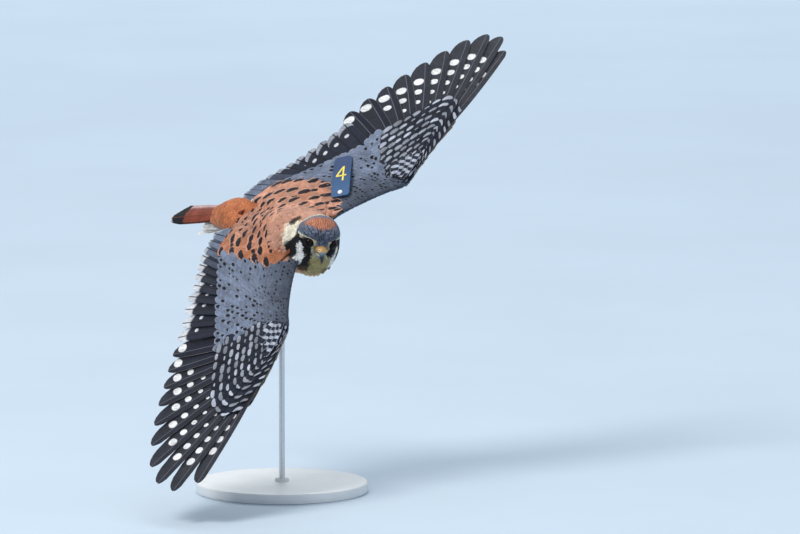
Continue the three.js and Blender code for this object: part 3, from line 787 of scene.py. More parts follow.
def cap_share(x, y, z, brow):
    """The slate cap and forehead, 1 inside."""
    high = blend(5, 14, z)
    cap = blend(-0.2, 0.5, z - brow) * blend(-0.6, 0.6, x + 7.4 - 6.2 * high)
    forehead = blend(12, 14, x) * blend(-5.6, -4.4, z) * (1 - blend(4.6, 6.4, np.abs(y)))
    return np.maximum(cap, forehead)


def cap_colour(x, y, z):
    """Slate with fine dark streaks on the forehead, bluer in front and paler on top."""
    ray = np.arctan2(y, z + 8)
    streaks = np.sin(44 * ray + 0.8 * np.sin(9 * ray)) * blend(2, 8, x) * (1 - blend(10, 15, z))
    pale = blend(2, 11, z) * (1 - 0.5 * blend(12, 17, x))
    return mix(SLATE, CAP, pale[:, None]) * (1 + 0.6 * streaks[:, None])


def crown_share(x, y, z):
    """The rufous patch on the crown."""
    along_crown = np.degrees(np.arctan2(z + 0.001, x))
    patch = ((along_crown - 62 - 0.085 * y**2) / 20) ** 2 + ((y + 1.0) / 14) ** 2
    return (1 - blend(0.5, 1.35, patch)) * blend(7, 9, z)


def head_colour(points):
    """Colour at points in the head's frame."""
    x, y, z = points.T
    side = np.abs(y)
    left = y > 0
    face = on_face(np.stack([x, side, z], 1))
    brow = profile(BROW_HEIGHT, x)
    high = blend(5, 14, z)
    throat = (1 - blend(6, 11, side - 6.0 * left)) * (1 - blend(-12, -8, z)) * blend(-4, 3, x)
    colour = np.tile(SALMON, (len(points), 1))
    for share, other in (
        (blend(-0.8, 0.8, x + 9.5 - 4.5 * high), CREAM * 1.1),
        (cap_share(x, y, z, brow), cap_colour(x, y, z)),
        (crown_share(x, y, z), CROWN),
        (throat, CREAM * (0.75, 0.85, 0.85)),
        # The lower throat olive: painted shade with a greenish reflected tint over its whitish feathers
        (throat * (1 - blend(-20, -15, z)), OLIVE),
        (stripe(face, on_face(NAPE_SIDE), 4.2), NAPE_CREAM),
        (stripe(face, on_face(CHEEK), 3.3 - 1.2 * left), WHITE * 0.86),
        (stripe(face, on_face(EAR_STRIPE), 3.5), BLACK),
        (stripe(face, on_face(MALAR), np.where(left, 4.2 - 6 * (1 - blend(-18, -12, z)), 2.7)), BLACK),
        (stripe(face, on_face(NAPE_SPOT), 1.9), NAPE_BROWN),
        # Dark umber low on the neck's sides below the head: painted shade
        ((1 - blend(-28.5, -24.5, z)) * blend(5, 9, side), SHADE_UMBER),
        (stripe(face, on_face(THROAT_SIDE), 1.8), THROAT_GREY),
        (stripe(face, on_face(LORE), 2.0), OLIVE),
        # The black patch round the eye: its dark surround, deepened with painted shade of the socket under
        # the brow
        (stripe(face, on_face(EYE_PATCH), 4.4 + 1.4 * left) * (1 - blend(-0.3, 0.3, z - brow)), EYE_BLACK),
        (stripe(face, on_face(BROW_LINE), 0.75), BROW_PALE),
    ):
        colour = paint(colour, share, other)
    return colour


def body_angle(points):
    """The angle round the spine, 0 along the back and pi along the belly."""
    return np.arctan2(np.abs(points[:, 1]), points[:, 2] - profile(BODY_MIDDLE, points[:, 0]))


def body_colour(points):
    x = points[:, 0]
    under = body_angle(points)
    colour = np.tile(SALMON, (len(points), 1))
    for share, other in (
        (1 - blend(-40, -28, x), RUFOUS),
        (blend(1.75, 2.1, under), BUFF),
        (blend(2.0, 2.6, under) * (1 - blend(-5, 25, x)), CREAM),
        (blend(1.7, 2.1, under) * (1 - blend(-45, -30, x)), WHITE),
    ):
        colour = paint(colour, share, other)
    return colour


def coat_colour(points):
    """The colour of skin and coat on the body and head."""
    head = to_head(points)
    head_share = blend(-22, -18, head[:, 0]) * (1 - blend(28, 33, head_reach(head)))
    return mix(body_colour(points), head_colour(head), head_share[:, None])


# Vanes: closed thin sheets that follow a few control points
class Coat:
    """Gathers vanes and makes one piece of them."""

    ATTRIBUTES = ("ground", "mark", "edge", "quill", "spots", "more")

    def __init__(self):
        self.points, self.faces, self.places, self.maps = [], [], [], []
        self.colours = {name: [] for name in self.ATTRIBUTES}
        self.count = 0

    def add(self, grid, looks, cells):
        """Adds what vanes() gives, with each vane's looks, and its corner and size on the map."""
        points, place, quads, corners, under = grid
        vanes, each = points.shape[:2]
        self.points.append(points.reshape(-1, 3))
        self.places.append(place.reshape(-1, 3))
        start = self.count + np.arange(vanes)[:, None, None] * each
        self.faces.append((quads + start).reshape(-1, 4))
        origin, size = cells
        spots = origin[:, None, None] + corners[None] * size[:, None, None]
        self.maps.append(spots.reshape(-1, 2))
        for name in self.ATTRIBUTES:
            value = np.broadcast_to(looks[name][:, None], (vanes, each, 4)).copy()
            if name == "ground":
                value[:, under, :3] = looks["under"][:, None]
                # Each vane darkens toward its root to its base colour: partly the feathers' own darker
                # bases, partly painted shade where the next vanes lap over them
                base = looks["base"][:, None]
                share = blend(0.55, 0.95, place[:, :, 1] / looks["length"][:, None])[..., None]
                value[..., :3] = mix(value[..., :3], base, share)
            self.colours[name].append(value.reshape(-1, 4))
        self.count += vanes * each

    def build(self, name, material, slot, nodes):
        points = in_part(np.concatenate(self.points))
        faces = np.concatenate(self.faces)
        mesh = bpy.data.meshes.new(name)
        mesh.vertices.add(len(points))
        mesh.vertices.foreach_set("co", points.astype(np.float32).ravel())
        mesh.loops.add(faces.size)
        mesh.loops.foreach_set("vertex_index", faces.astype(np.int32).ravel())
        mesh.polygons.add(len(faces))
        mesh.polygons.foreach_set("loop_start", np.arange(0, faces.size, 4, dtype=np.int32))
        mesh.update(calc_edges=True)
        for attribute_name, values in self.colours.items():
            set_colour(mesh, attribute_name, np.concatenate(values))
        place = mesh.attributes.new("vane", "FLOAT_VECTOR", "POINT")
        place.data.foreach_set("vector", np.concatenate(self.places).astype(np.float32).ravel())
        layer = mesh.uv_layers.new(name="OFBake")
        layer.data.foreach_set("uv", np.concatenate(self.maps).astype(np.float32).ravel())
        mesh.set_sharp_from_angle(angle=math.radians(75))
        piece(name, mesh, material, nodes)


def sheet_layout(rows, columns):
    """Faces of a closed sheet, whose lower side shares the rim, with each corner's place on the map."""
    top = np.arange(rows * columns).reshape(rows, columns)
    low = top.copy()
    low[1:-1, 1:-1] = rows * columns + np.arange((rows - 2) * (columns - 2)).reshape(rows - 2, columns - 2)
    i, j = np.meshgrid(np.linspace(0, 1, rows), np.linspace(0, 1, columns), indexing="ij")
    upper = np.stack([j, i], -1).reshape(-1, 2)[grid_quads(top)] * (0.48, 1)
    lower = (upper + (0.52, 0))[:, ::-1]
    faces = np.concatenate([grid_quads(top), grid_quads(low)[:, ::-1]])
    return faces, np.concatenate([upper, lower]), low[1:-1, 1:-1].ravel()


def web_places(columns, quill):
    """Places across a vane, closer at its edges, with a narrow pair beside the quill of a long feather."""
    web = np.sin(np.linspace(-math.pi / 2, math.pi / 2, columns))
    if quill:
        web = np.sort(np.concatenate([web, [-0.07, 0.07]]))
    return web


# How much narrower a vane's rim is at its sides than at its tip, and its quill as a share of a web
SIDE_RIM = 1.6
QUILL_WIDTH = 0.12


def vanes(control, length, outline, rows, columns, rng, lift=(0.0, 0.0), camber=0.25, thickness=0.2,
          notch=0.03, pointed=(1.0, 1.0), ridge=0.12, quill=False, tip_rim=False):
    """Closed vanes through control points (middle, lead edge, rear edge, up), each (vanes, controls, 3).

    Gives their points, the shader's places (across, to the tip, to the rim), faces, map and lower points.
    """
    middle, lead, rear, up = control
    count, controls = middle.shape[:2]
    web = web_places(columns, quill)
    columns = len(web)
    row = 1 - (1 - np.linspace(0, 1, rows)[:, None]) ** 1.5
    half_lead, half_rear = (norm(edge - middle).max(1)[:, None] for edge in (lead, rear))
    half = np.where(web > 0, pointed[0] * half_lead, pointed[1] * half_rear)
    set_back = half / length[:, None] * (1 - np.sqrt(1 - 0.97 * web**2))
    along = row * (1 - set_back[:, None] * row**4)
    along = along + (rng.random((count, 1, columns)) - 0.6) * notch * row**6
    along = np.clip(along, 0, 1)
    at = along * (controls - 1)
    i = np.minimum(at.astype(int), controls - 2)
    vane = np.arange(count)[:, None, None]
    centre, lead_edge, rear_edge, out = (
        mix(values[vane, i], values[vane, i + 1], (at - i)[..., None]) for values in control
    )
    spread = np.where(web > 0, profile(outline[0], row) * web, profile(outline[1], row) * web)
    spread = np.broadcast_to(spread, along.shape)[..., None]
    surface = centre + np.maximum(spread, 0) * (lead_edge - centre)
    surface = surface + np.maximum(-spread, 0) * (rear_edge - centre)
    low_lift, high_lift = (np.reshape(end, (-1, 1, 1)) for end in lift)
    surface = surface + out * (mix(low_lift, high_lift, along)[..., None] + camber * (1 - spread**2))
    top = surface + out * (thickness / 2 + ridge * np.exp(-((web / QUILL_WIDTH) ** 2)))[:, None]
    low = surface - out * thickness / 2
    rim = np.ones((rows, columns, 1), bool)
    rim[1:-1, 1:-1] = False
    top = np.where(rim, surface, top)

    wide_lead, wide_rear = norm(lead_edge - centre), norm(rear_edge - centre)
    across = spread[..., 0] * np.where(spread[..., 0] > 0, wide_lead, wide_rear)
    to_tip = (1 - along) * length[:, None, None]
    to_rim = np.broadcast_to((1 - row) * length[:, None, None], across.shape)
    if not tip_rim:
        to_side = (1 - np.abs(web)) * np.where(web > 0, wide_lead, wide_rear) * SIDE_RIM
        to_rim = np.minimum(to_rim, to_side)
    place = np.stack([across, to_tip, to_rim], -1)
    points, place = (
        np.concatenate([upper.reshape(count, -1, 3), lower[:, 1:-1, 1:-1].reshape(count, -1, 3)], 1)
        for upper, lower in ((top, low), (place, place))
    )
    quads, corners, under = sheet_layout(rows, columns)
    faces, maps = (np.repeat(part[None], count, 0) for part in (quads, corners))
    way = np.cross(lead_edge[:, 1, -1] - rear_edge[:, 1, 0], centre[:, -1, 0] - centre[:, 0, 0])
    turned = (way * out[:, 1, columns // 2]).sum(1) < 0
    for part in (faces, maps):
        part[turned] = part[turned][:, :, ::-1]
    return points, place, faces, maps, under


def looks_of(count, length, ground, rng, base=None, under=None, mark=BLACK, edge=WHITE, edge_width=0.0,
             quill=BLACK, quill_width=0.0, first=0.0, period=99.0, half_long=0.001, half_wide=0.001,
             last=0.0, centre=0.0, shrink=0.0):
    """What each vane looks like, with one value for all or one for each."""

    def column(value, width=1):
        return np.broadcast_to(np.asarray(value, float).reshape(-1, width), (count, width))

    def beside(*columns):
        return np.concatenate(columns, 1)

    ground = column(ground, 3)
    return dict(
        length=column(length)[:, 0],
        ground=beside(ground, rng.random((count, 1))),
        # base: the root colour, by default a little darker, partly the feathers' own darker bases and partly
        # painted shade under the lapping feathers
        base=ground * 0.8 if base is None else column(base, 3),
        under=ground * 0.9 if under is None else column(under, 3),
        mark=beside(column(mark, 3), column(0)),
        edge=beside(column(edge, 3), column(edge_width)),
        quill=beside(column(quill, 3), column(quill_width)),
        spots=beside(*(column(value) for value in (first, period, half_long, half_wide))),
        more=beside(*(column(value) for value in (last, centre, shrink, 0))),
    )


def map_cells(a, b, size):
    """A cell for each vane at its root's place (a, b) on the unwrapped skin, from 0 to 1."""
    origin = 0.01 + np.stack([a, b], 1) * (0.98 - size)
    return origin, np.full((len(a), 2), size)


def even(values):
    low, high = values.min(), values.max()
    return (values - low) / max(1e-6, high - low)


# A feather's two webs: the share of their full width at a share of the length
SOFT_OUTLINE = (((0, 0.35), (0.35, 0.85), (0.7, 1.0), (1, 0.92)),) * 2
CONTROLS = 6


def laid_control(skin, roots, way_at, length, width):
    """Control points of vanes that lie over the skin from their roots, along a field of directions."""
    count = len(roots)
    middle, up, side = (np.empty((count, CONTROLS, 3)) for _ in range(3))
    place, normal = skin.nearest(roots)
    for k in range(CONTROLS):
        way = way_at(place)
        way = unit(way - (way * normal).sum(-1, keepdims=True) * normal)
        middle[:, k], up[:, k] = place, normal
        side[:, k] = np.cross(way, normal)
        place, normal = skin.nearest(place + way * (length / (CONTROLS - 1))[:, None])
    reach = side * width[:, None, None]
    lead, _ = skin.nearest(middle + reach)
    rear, _ = skin.nearest(middle - reach)
    return middle, lead, rear, up


def body_lie(points):
    """The way the coat lies on body, neck and head."""
    head = to_head(points)
    from_bill = unit(head - (19, 0, -6)) @ HEAD_AXES.T
    near = 1 - blend(16, 34, norm(head))
    backward = np.tile(np.array([-1.0, 0.0, 0.0]), (len(points), 1))
    return unit(mix(backward, from_bill, near[:, None]))


# Where the rufous back gives way to the grey coverts, as (x, y) out from the spine
RUFOUS_EDGE = {
    1: ((-59, 20), (-45, 38), (-31, 48), (-10, 58), (8, 59), (22, 54), (38, 45), (52, 30), (64, 18)),
    -1: ((-58, 22), (-45, 38), (-31, 44), (-10, 45), (4, 44), (26, 40.5), (41, 33), (52, 22), (62, 10)),
}


def rufous_reach(x, side):
    return np.where(side > 0, profile(RUFOUS_EDGE[1], x), profile(RUFOUS_EDGE[-1], x))


def mantle_lie(points):
    """The way the mantle lies at places (x, y): back from the neck and out over the shoulders."""
    x, out = points[:, 0], np.abs(points[:, 1])
    angle = 50 * blend(4, 46, out) * blend(-66, -18, x) + 16 * blend(8, 40, x) * blend(12, 36, out)
    angle = np.radians(angle)
    return np.stack([-np.cos(angle), np.sign(points[:, 1]) * np.sin(angle)], 1)


def blurred(level):
    """Each height of a field mixed with its four neighbours."""
    wide = np.pad(level, 1, mode="edge")
    return (wide[:-2, 1:-1] + wide[2:, 1:-1] + wide[1:-1, :-2] + wide[1:-1, 2:] + 2 * level) / 6


class Back:
    """The height of the bird's back, smoothed over the gaps between body and wings."""

    STEP = 2.0
    LOW = (-84.0, -84.0)
    COUNT = (80, 85)
    TOP = 70
    FILL_STEPS = 60
    SMOOTH_STEPS = 5
    CLEAR = 0.5

    def __init__(self, trees):
        x, y = (low + self.STEP * np.arange(count) for low, count in zip(self.LOW, self.COUNT))
        down = Vector((0, 0, -1))
        height = np.full(self.COUNT, np.nan)
        for i, j in np.ndindex(*self.COUNT):
            found = [tree.ray_cast(Vector((x[i], y[j], self.TOP)), down)[0] for tree in trees]
            levels = [hit[2] for hit in found if hit is not None]
            if levels:
                height[i, j] = max(levels)
        known = ~np.isnan(height)
        level = np.where(known, height, np.nanmean(height))
        for _ in range(self.FILL_STEPS):
            level = np.where(known, height, blurred(level))
        for _ in range(self.SMOOTH_STEPS):
            level = blurred(level)
        self.level = level[..., None] + self.CLEAR

    def on(self, flat):
        """Points of the back over places (x, y), of any shape (..., 2)."""
        at = np.clip((flat - self.LOW) / self.STEP, 0, np.array(self.COUNT) - 1.001)
        return np.concatenate([flat, between(self.level, at[..., 0], at[..., 1])], -1)

    def up(self, flat):
        ahead, beside = (self.on(flat + step) - self.on(flat - step) for step in np.eye(2) * self.STEP)
        return unit(np.cross(ahead, beside))

    def control(self, tips, length, width):
        """Control points of vanes that end at places on the back."""
        places = [tips]
        for k in range(CONTROLS - 1):
            places.append(places[-1] - mantle_lie(places[-1]) * (length / (CONTROLS - 1))[:, None])
        flat = np.stack(places[::-1], 1)
        way = mantle_lie(flat.reshape(-1, 2)).reshape(flat.shape)
        beside = np.stack([way[..., 1], -way[..., 0]], -1) * (width / 2)[:, None, None]
        return self.on(flat), self.on(flat + beside), self.on(flat - beside), self.up(flat)


# Rings of feather ends over the back: share of the way out to its edge, and feather size
MANTLE_RINGS = (
    (1.0, 1.0), (0.76, 0.96), (0.56, 0.86), (0.39, 0.74), (0.25, 0.64), (0.13, 0.56), (0.03, 0.5),
)
MANTLE_PIVOT = (6.0, 0.0)
MANTLE_GAP = 13.2
MANTLE_LENGTH = 29
MANTLE_WIDTH = 15.5
MANTLE_EDGE = np.array([0.60, 0.36, 0.28])
BAR_BLACK = np.array([0.010, 0.007, 0.012])
BAR_FADE = np.array([0.045, 0.022, 0.018])


def mantle_tips():
    """Feather ends in staggered rings inside the rufous edge, as x, y, size and ring."""
    tips = []
    for side in (1, -1):
        edge = ((-49, 1), (-53, 11), *RUFOUS_EDGE[side])
        line = resample([(x, side * y) for x, y in edge], 200)
        for ring, (share, size) in enumerate(MANTLE_RINGS):
            curve = np.array(MANTLE_PIVOT) + (line - MANTLE_PIVOT) * share
            curve[:, 1] -= side * 1.2
            gap = MANTLE_GAP * size
            at = np.arange(gap * (0.2 + 0.5 * (ring % 2)), run_along(curve)[-1], gap)
            for x, y in at_runs(curve, at):
                tips.append((x, y, size * mix(1.0, 0.62, float(blend(24, 52, x))), ring))
    return np.array(tips)


def back_coat(back, rng):
    """Mantle and scapulars: lapped rufous feathers, most of them barred with black."""
    tips = mantle_tips()
    tips[:, :2] += (rng.random((len(tips), 2)) - 0.5) * 2.2 * tips[:, 2:3]
    ends, middles, roots = (
        to_head(back.on(tips[:, :2] - mantle_lie(tips) * share * MANTLE_LENGTH * tips[:, 2:3]))
        for share in (0, 14 / 29, 27 / 29)
    )
    kept_off = 27 + 9 * (1 - blend(-12, -2, ends[:, 2]))
    clear = (norm(ends) > kept_off + 1) & (norm(middles) > kept_off - 2) & (norm(roots) > kept_off - 9.5)
    x, y, size, ring = tips[clear].T
    count = len(x)
    length = MANTLE_LENGTH * size
    width = MANTLE_WIDTH * size * (0.94 + 0.12 * rng.random(count))
    control = back.control(tips[clear, :2], length, width)
    inner = blend(1.5, 5.0, ring)
    grid = vanes(control, length, SOFT_OUTLINE, 19, 13, rng, lift=(-0.2, 0.5 + 0.4 * inner), camber=0.35,
                 notch=0.08, pointed=(0.9, 0.9), tip_rim=True)
    barred = rng.random(count) > 0.22 * inner + 0.03
    bar = np.where(barred, 1.0, 0.4) * mix(1.0, 0.85, inner) * (0.85 + 0.3 * rng.random(count))
    warm = blend(-10, -40, y) * 0.5 + 0.5 * rng.random(count)
    ground = mix(SALMON, RUFOUS, warm[:, None]) * (0.8 + 0.4 * rng.random((count, 1)))
    last = np.where(rng.random(count) < 0.5, 1.0, 0.0)
    looks = looks_of(
        # base: darker, redder roots, partly the feathers' own darker bases and partly painted shade under
        # the lapping rows
        count, length, ground, rng, base=ground * (0.5, 0.42, 0.4),
        mark=BAR_BLACK + BAR_FADE * inner[:, None],
        edge=mix(ground, MANTLE_EDGE, 0.75), edge_width=1.5 * size, first=4.2 * size,
        half_long=2.3 * size * bar, half_wide=width * 0.39 * bar, period=11.5 * size, last=last, shrink=0.2,
    )
    coat = Coat()
    coat.add(grid, looks, map_cells(even(x), even(y), 0.006))
    coat.build("coat_back", MANTLE, "back_feathers", ("torso",))


def soft_coat(name, skin, covered, spacing, sizes, slot, nodes, rng, marks=None, colour_at=coat_colour,
              rows=8, columns=5, lift=2.0, lie=body_lie, unwrap=None):
    """A field of small lapped feathers over the covered faces of the skin."""
    roots = skin.scatter(np.flatnonzero(covered), spacing, rng)
    length, width = sizes(roots)
    control = laid_control(skin, roots, lie, length, width / 2)
    grid = vanes(control, length, SOFT_OUTLINE, rows, columns, rng, lift=(-0.2, lift), camber=0.25,
                 notch=0.09, thickness=0.14, ridge=0.05)
    ends = control[0][:, -2]
    ground = colour_at(ends) * (0.88 + 0.24 * rng.random((len(roots), 1)))
    extra = marks(ends, rng) if marks else {}
    looks = looks_of(len(roots), length, ground, rng, **extra)
    a, b = unwrap(roots) if unwrap else (roots[:, 0], np.arctan2(roots[:, 1], roots[:, 2]))
    coat = Coat()
    coat.add(grid, looks, map_cells(even(a), even(b), 0.003))
    coat.build(name, PLUMAGE, slot, nodes)


def eye_gap(head):
    """How far points of the head's frame are from the nearer eye's middle."""
    return np.minimum(*(norm(head - (EYE[0], side * EYE[1], EYE[2])) for side in (1, -1)))


def head_coat(skin, rng):
    head = to_head(skin.face_points)
    covered = (skin.labels == "head") | (head_reach(head) < 27)
    covered &= np.isin(skin.labels, ("head", "body"))
    bill_gap = norm((head - (18.0, 0, -9.4)) / (1, 1, 1.1))
    covered &= (eye_gap(head) > EYE_CLEAR) & (bill_gap > BILL_CLEAR)

    def sizes(roots):
        place = to_head(roots)
        from_face = blend(6, 24, norm(place - (16, 0, -6)))
        length = mix(1.8, 7.0, from_face) * mix(0.45, 1.0, blend(5.0, 9.0, eye_gap(place)))
        return length, 0.9 + 0.28 * length

    def marks(ends, rng):
        place = to_head(ends)
        crown = blend(2, 5, place[:, 2] + 0.5 * np.maximum(0, place[:, 0] - 8)) * blend(-10, -6, place[:, 0])
        return dict(quill=(0.010, 0.010, 0.016), quill_width=0.2 * crown)

    def unwrap(roots):
        place = to_head(roots)
        return np.arctan2(place[:, 1], place[:, 2]), place[:, 0]

    soft_coat("coat_head", skin, covered, 1.08, sizes, "head_feathers", ("head", "neck"), rng, marks,
              rows=6, lift=1.1, unwrap=unwrap)


def flank_marks(ends, rng):
    """Black drops on the flanks and belly, fewer on the breast."""
    under = body_angle(ends)
    zone = blend(1.75, 1.95, under) * (1 - blend(18, 34, ends[:, 0])) * blend(-44, -36, ends[:, 0])
    shown = (rng.random(len(ends)) < 0.5 * zone).astype(float)
    return dict(mark=BLACK, first=2.2, half_long=1.3 * shown + 0.001, half_wide=1.0 * shown + 0.001)


def body_coat(skin, rng):
    """Neck, flanks, breast and belly, apart from the back's barred feathers."""
    x, y, z = skin.face_points.T
    head = to_head(skin.face_points)
    own = (skin.labels == "body") & (head_reach(head) > 25)
    barred = (z > profile(BODY_MIDDLE, x) + 8) & (x > -66) & (x < 34)
    barred &= (np.abs(y) < rufous_reach(x, np.sign(y)) - 6) & (norm(head) > 40)

    def sizes(roots):
        stout = 1 - blend(20, 46, roots[:, 0])
        ahead = blend(-60, -40, roots[:, 0])
        length = mix(7.0, 12.0, stout) * mix(0.75, 1.0, ahead)
        return length, mix(3.2, 5.6, stout) * mix(0.7, 1.0, ahead)

    soft_coat("coat_body", skin, own & ~barred, 3.1, sizes, "belly_feathers", ("torso", "neck"), rng,
              flank_marks, rows=9, columns=7, lift=2.2)


def thigh_coat(skin, rng):
    def sizes(roots):
        return np.full(len(roots), 9.5), np.full(len(roots), 3.4)

    def lie(points):
        return np.tile(unit(np.array([-1.0, 0.0, -0.25])), (len(points), 1))

    def colour_at(points):
        return np.tile(CREAM, (len(points), 1))

    soft_coat("coat_thighs", skin, np.char.startswith(skin.labels, "thigh"), 2.6, sizes, "belly_feathers",
              ("thigh_left", "thigh_right"), rng, colour_at=colour_at, lift=1.6, lie=lie)


class Bed:
    """The surface that one face of a wing's coverts lies on, from the leading edge back over the quills."""

    SPAN = 96
    CHORD = 64

    def __init__(self, wing, above):
        self.above = above
        self.reach = 1 if above > 0 else 0.75
        arm = [self.arm_line(wing, k) for k in reversed(range(len(wing.secondaries)))]
        hand = [self.hand_line(wing, k) for k in range(len(wing.primaries))]
        inward = np.array([-2.0, -13.0 * wing.side, 1.5])
        lines = np.array([arm[0] + inward] + arm + hand + [self.edge_line(wing)])
        self.wrist_at = (len(arm) + 0.5) / (len(lines) - 1) * (self.SPAN - 1)
        lines = resample(lines.reshape(len(lines), -1), self.SPAN).reshape(self.SPAN, -1, 3)
        fine = [resample(line, self.CHORD) for line in lines]
        shares = np.linspace(0, 1, self.CHORD)
        self.grid = np.array([at_runs(line, run_along(line)[-1] * shares) for line in fine])
        self.chord = norm(np.diff(self.grid, axis=1)).sum(1)
        outwards = np.gradient(self.grid, axis=0)
        backwards = np.gradient(self.grid, axis=1)
        self.normal = unit(np.cross(outwards, backwards)) * wing.side * above
        self.spread = norm(outwards)

    def arm_line(self, wing, k):
        flight = wing.secondaries[k]
        spine = np.arange(CORE_STATIONS)
        station = float(np.interp(wing.side * flight["root"][1], wing.front[:, 1] * wing.side, spine))
        core = wing.core_point(station, np.array([0, 0.05, 0.2, 0.42]), self.above)
        reach = mix(0.66, 0.8, k / (len(wing.secondaries) - 1)) * self.reach
        quill = flight["along"] * flight["length"] * reach
        rear = [
            flight["root"] + quill * share + flight["up"] * rise * self.above
            for share, rise in ((0.6, 4.4), (1.0, 2.6))
        ]
        return np.concatenate([core, rear])

    def hand_line(self, wing, k):
        flight = wing.primaries[k]
        t = k / (len(wing.primaries) - 1)
        root = flight["root"]
        up = wing.normal * self.above
        front = wing.wrist + wing.hand * PRIMARY_ROOTS[k] * 0.4 - wing.back * 4.8
        quill = flight["along"] * flight["length"] * mix(0.64, 0.5, t) * self.reach
        return np.array([
            front,
            mix(front, root, 0.12) + up * 1.6,
            mix(front, root, 0.5) + up * mix(4.0, 2.2, t),
            root + quill * 0.16 + up * mix(4.6, 3.0, t),
            root + quill * 0.6 + up * 3.6,
            root + quill + up * 2.2,
        ])

    def edge_line(self, wing):
        last = wing.primaries[-1]
        up = wing.normal * self.above
        ahead = last["root"] - wing.back * 4.6
        quill = last["along"] * last["length"] * 0.5 * self.reach
        return np.array([
            wing.wrist - wing.back * 5.2,
            mix(wing.wrist, last["root"], 0.15) - wing.back * 5.2 + up * 0.3,
            mix(wing.wrist, last["root"], 0.5) - wing.back * 5.0 + up * 0.4,
            ahead + quill * 0.1 + up * 0.5,
            ahead + quill * 0.55 + up * 0.8,
            ahead + quill + up * 0.8,
        ])

    def at(self, values, span, chord):
        """Values of the grid at places, span in its own steps and chord from 0 to 1."""
        span = np.clip(span, 0, self.SPAN - 1.001)
        return between(values, span, np.clip(chord, 0, 0.9999) * (self.CHORD - 1))

    def rows(self, fine, coarse, rng):
        """Places of the coverts' tips in staggered rows: span, chord and the gap between rows."""
        found, chord, row = [], 0.02, 0
        mean = self.chord.mean()
        while chord < 1.0:
            gap = mix(fine, coarse, chord**0.8)
            line = self.grid[:, min(int(chord * self.CHORD), self.CHORD - 1)]
            run = run_along(line)
            at = np.arange(0.6 * gap * (row % 2), run[-1], 1.18 * gap)
            span = np.interp(at + (rng.random(len(at)) - 0.5) * 0.25 * gap, run, np.arange(self.SPAN))
            jitter = (rng.random(len(at)) - 0.5) * 0.22 * gap / mean
            found.append(np.stack([span, np.clip(chord + jitter, 0.01, 1), np.full(len(at), gap)], 1))
            chord += gap * 0.92 / mean
            row += 1
        return np.concatenate(found).T

    def control(self, span, chord, length, width):
        start = np.maximum(0.0, chord - length / np.interp(span, np.arange(self.SPAN), self.chord))
        share = np.linspace(0, 1, CONTROLS)[None]
        along = mix(start[:, None], chord[:, None], share)
        across = np.repeat(span[:, None], CONTROLS, 1)
        middle = self.at(self.grid, across, along)
        up = unit(self.at(self.normal, across, along))
        wide = (width / 2)[:, None] / self.at(self.spread[..., None], across, along)[..., 0]
        tilt = up * 0.25
        lead = self.at(self.grid, across + wide, along) + tilt
        rear = self.at(self.grid, across - wide, along) - tilt
        true_length = norm(np.diff(middle, axis=1)).sum(1)
        return (middle, lead, rear, up), np.maximum(true_length, 1.0)

    def tree(self):
        numbers = np.arange(self.SPAN * self.CHORD).reshape(self.SPAN, self.CHORD)
        return BVHTree.FromPolygons(self.grid.reshape(-1, 3).tolist(), grid_quads(numbers).tolist())


def arm_looks(chord, gap, rng):
    """Blue-grey coverts, darkened toward the front edge by painted shade, a third of them with a black drop.
    """
    count = len(gap)
    dropped = rng.random(count) < mix(0.3, 0.42, blend(3.0, 5.0, gap))
    drop = np.where(dropped, 0.7 + 0.6 * rng.random(count), 0.01)
    # shade: painted shade, darker toward the wing's front edge, times a random tone for each covert; the
    # pale rims follow it
    shade = mix(0.46, 1.28, blend(0.0, 0.6, chord))[:, None] * (0.84 + 0.32 * rng.random((count, 1)))
    return dict(ground=SLATE * shade, mark=BLACK, first=gap * (0.5 + 0.3 * rng.random(count)),
                half_long=gap * 0.27 * drop, half_wide=gap * 0.25 * drop,
                edge=PALE_SLATE * (0.62 * shade + 0.1), edge_width=gap * 0.13)


def hand_looks(chord, gap, rng):
    """Black coverts, each with a broad pale spot near its tip."""
    count = len(gap)
    ground = DUSKY * (0.5 + 0.5 * rng.random((count, 1)))
    size = np.where(rng.random(count) < 0.12, 0.4, 0.75 + 0.4 * rng.random(count))
    last_row = blend(0.93, 0.97, chord)
    light = (0.6 + 0.8 * rng.random(count) ** 1.5) * mix(1.0, 0.9, last_row)
    return dict(ground=ground, mark=PALE_SLATE * (1.1, 1.08, 1.05) * light[:, None],
                centre=gap * (0.16 * rng.random(count) - 0.08) - 0.01,
                first=gap * mix(0.38, 0.26, last_row) * (0.8 + 0.4 * rng.random(count)),
                half_long=gap * mix(0.21, 0.2, last_row) * size,
                half_wide=gap * mix(0.50, 0.46, last_row) * size)


def under_looks(chord, gap, rng):
    """Pale coverts under the wing, half of them with a dusky drop, and grey ones along its front edge."""
    count = len(gap)
    ground = mix(CREAM, WHITE, 0.55) * (0.85 + 0.3 * rng.random((count, 1)))
    ground = mix(SLATE * 0.8, ground, blend(0.10, 0.22, chord)[:, None])
    size = np.where(rng.random(count) < 0.5, 1.0, 0.01)
    return dict(ground=ground, mark=DUSKY, first=gap * 0.55,
                half_long=gap * 0.3 * size, half_wide=gap * 0.22 * size)


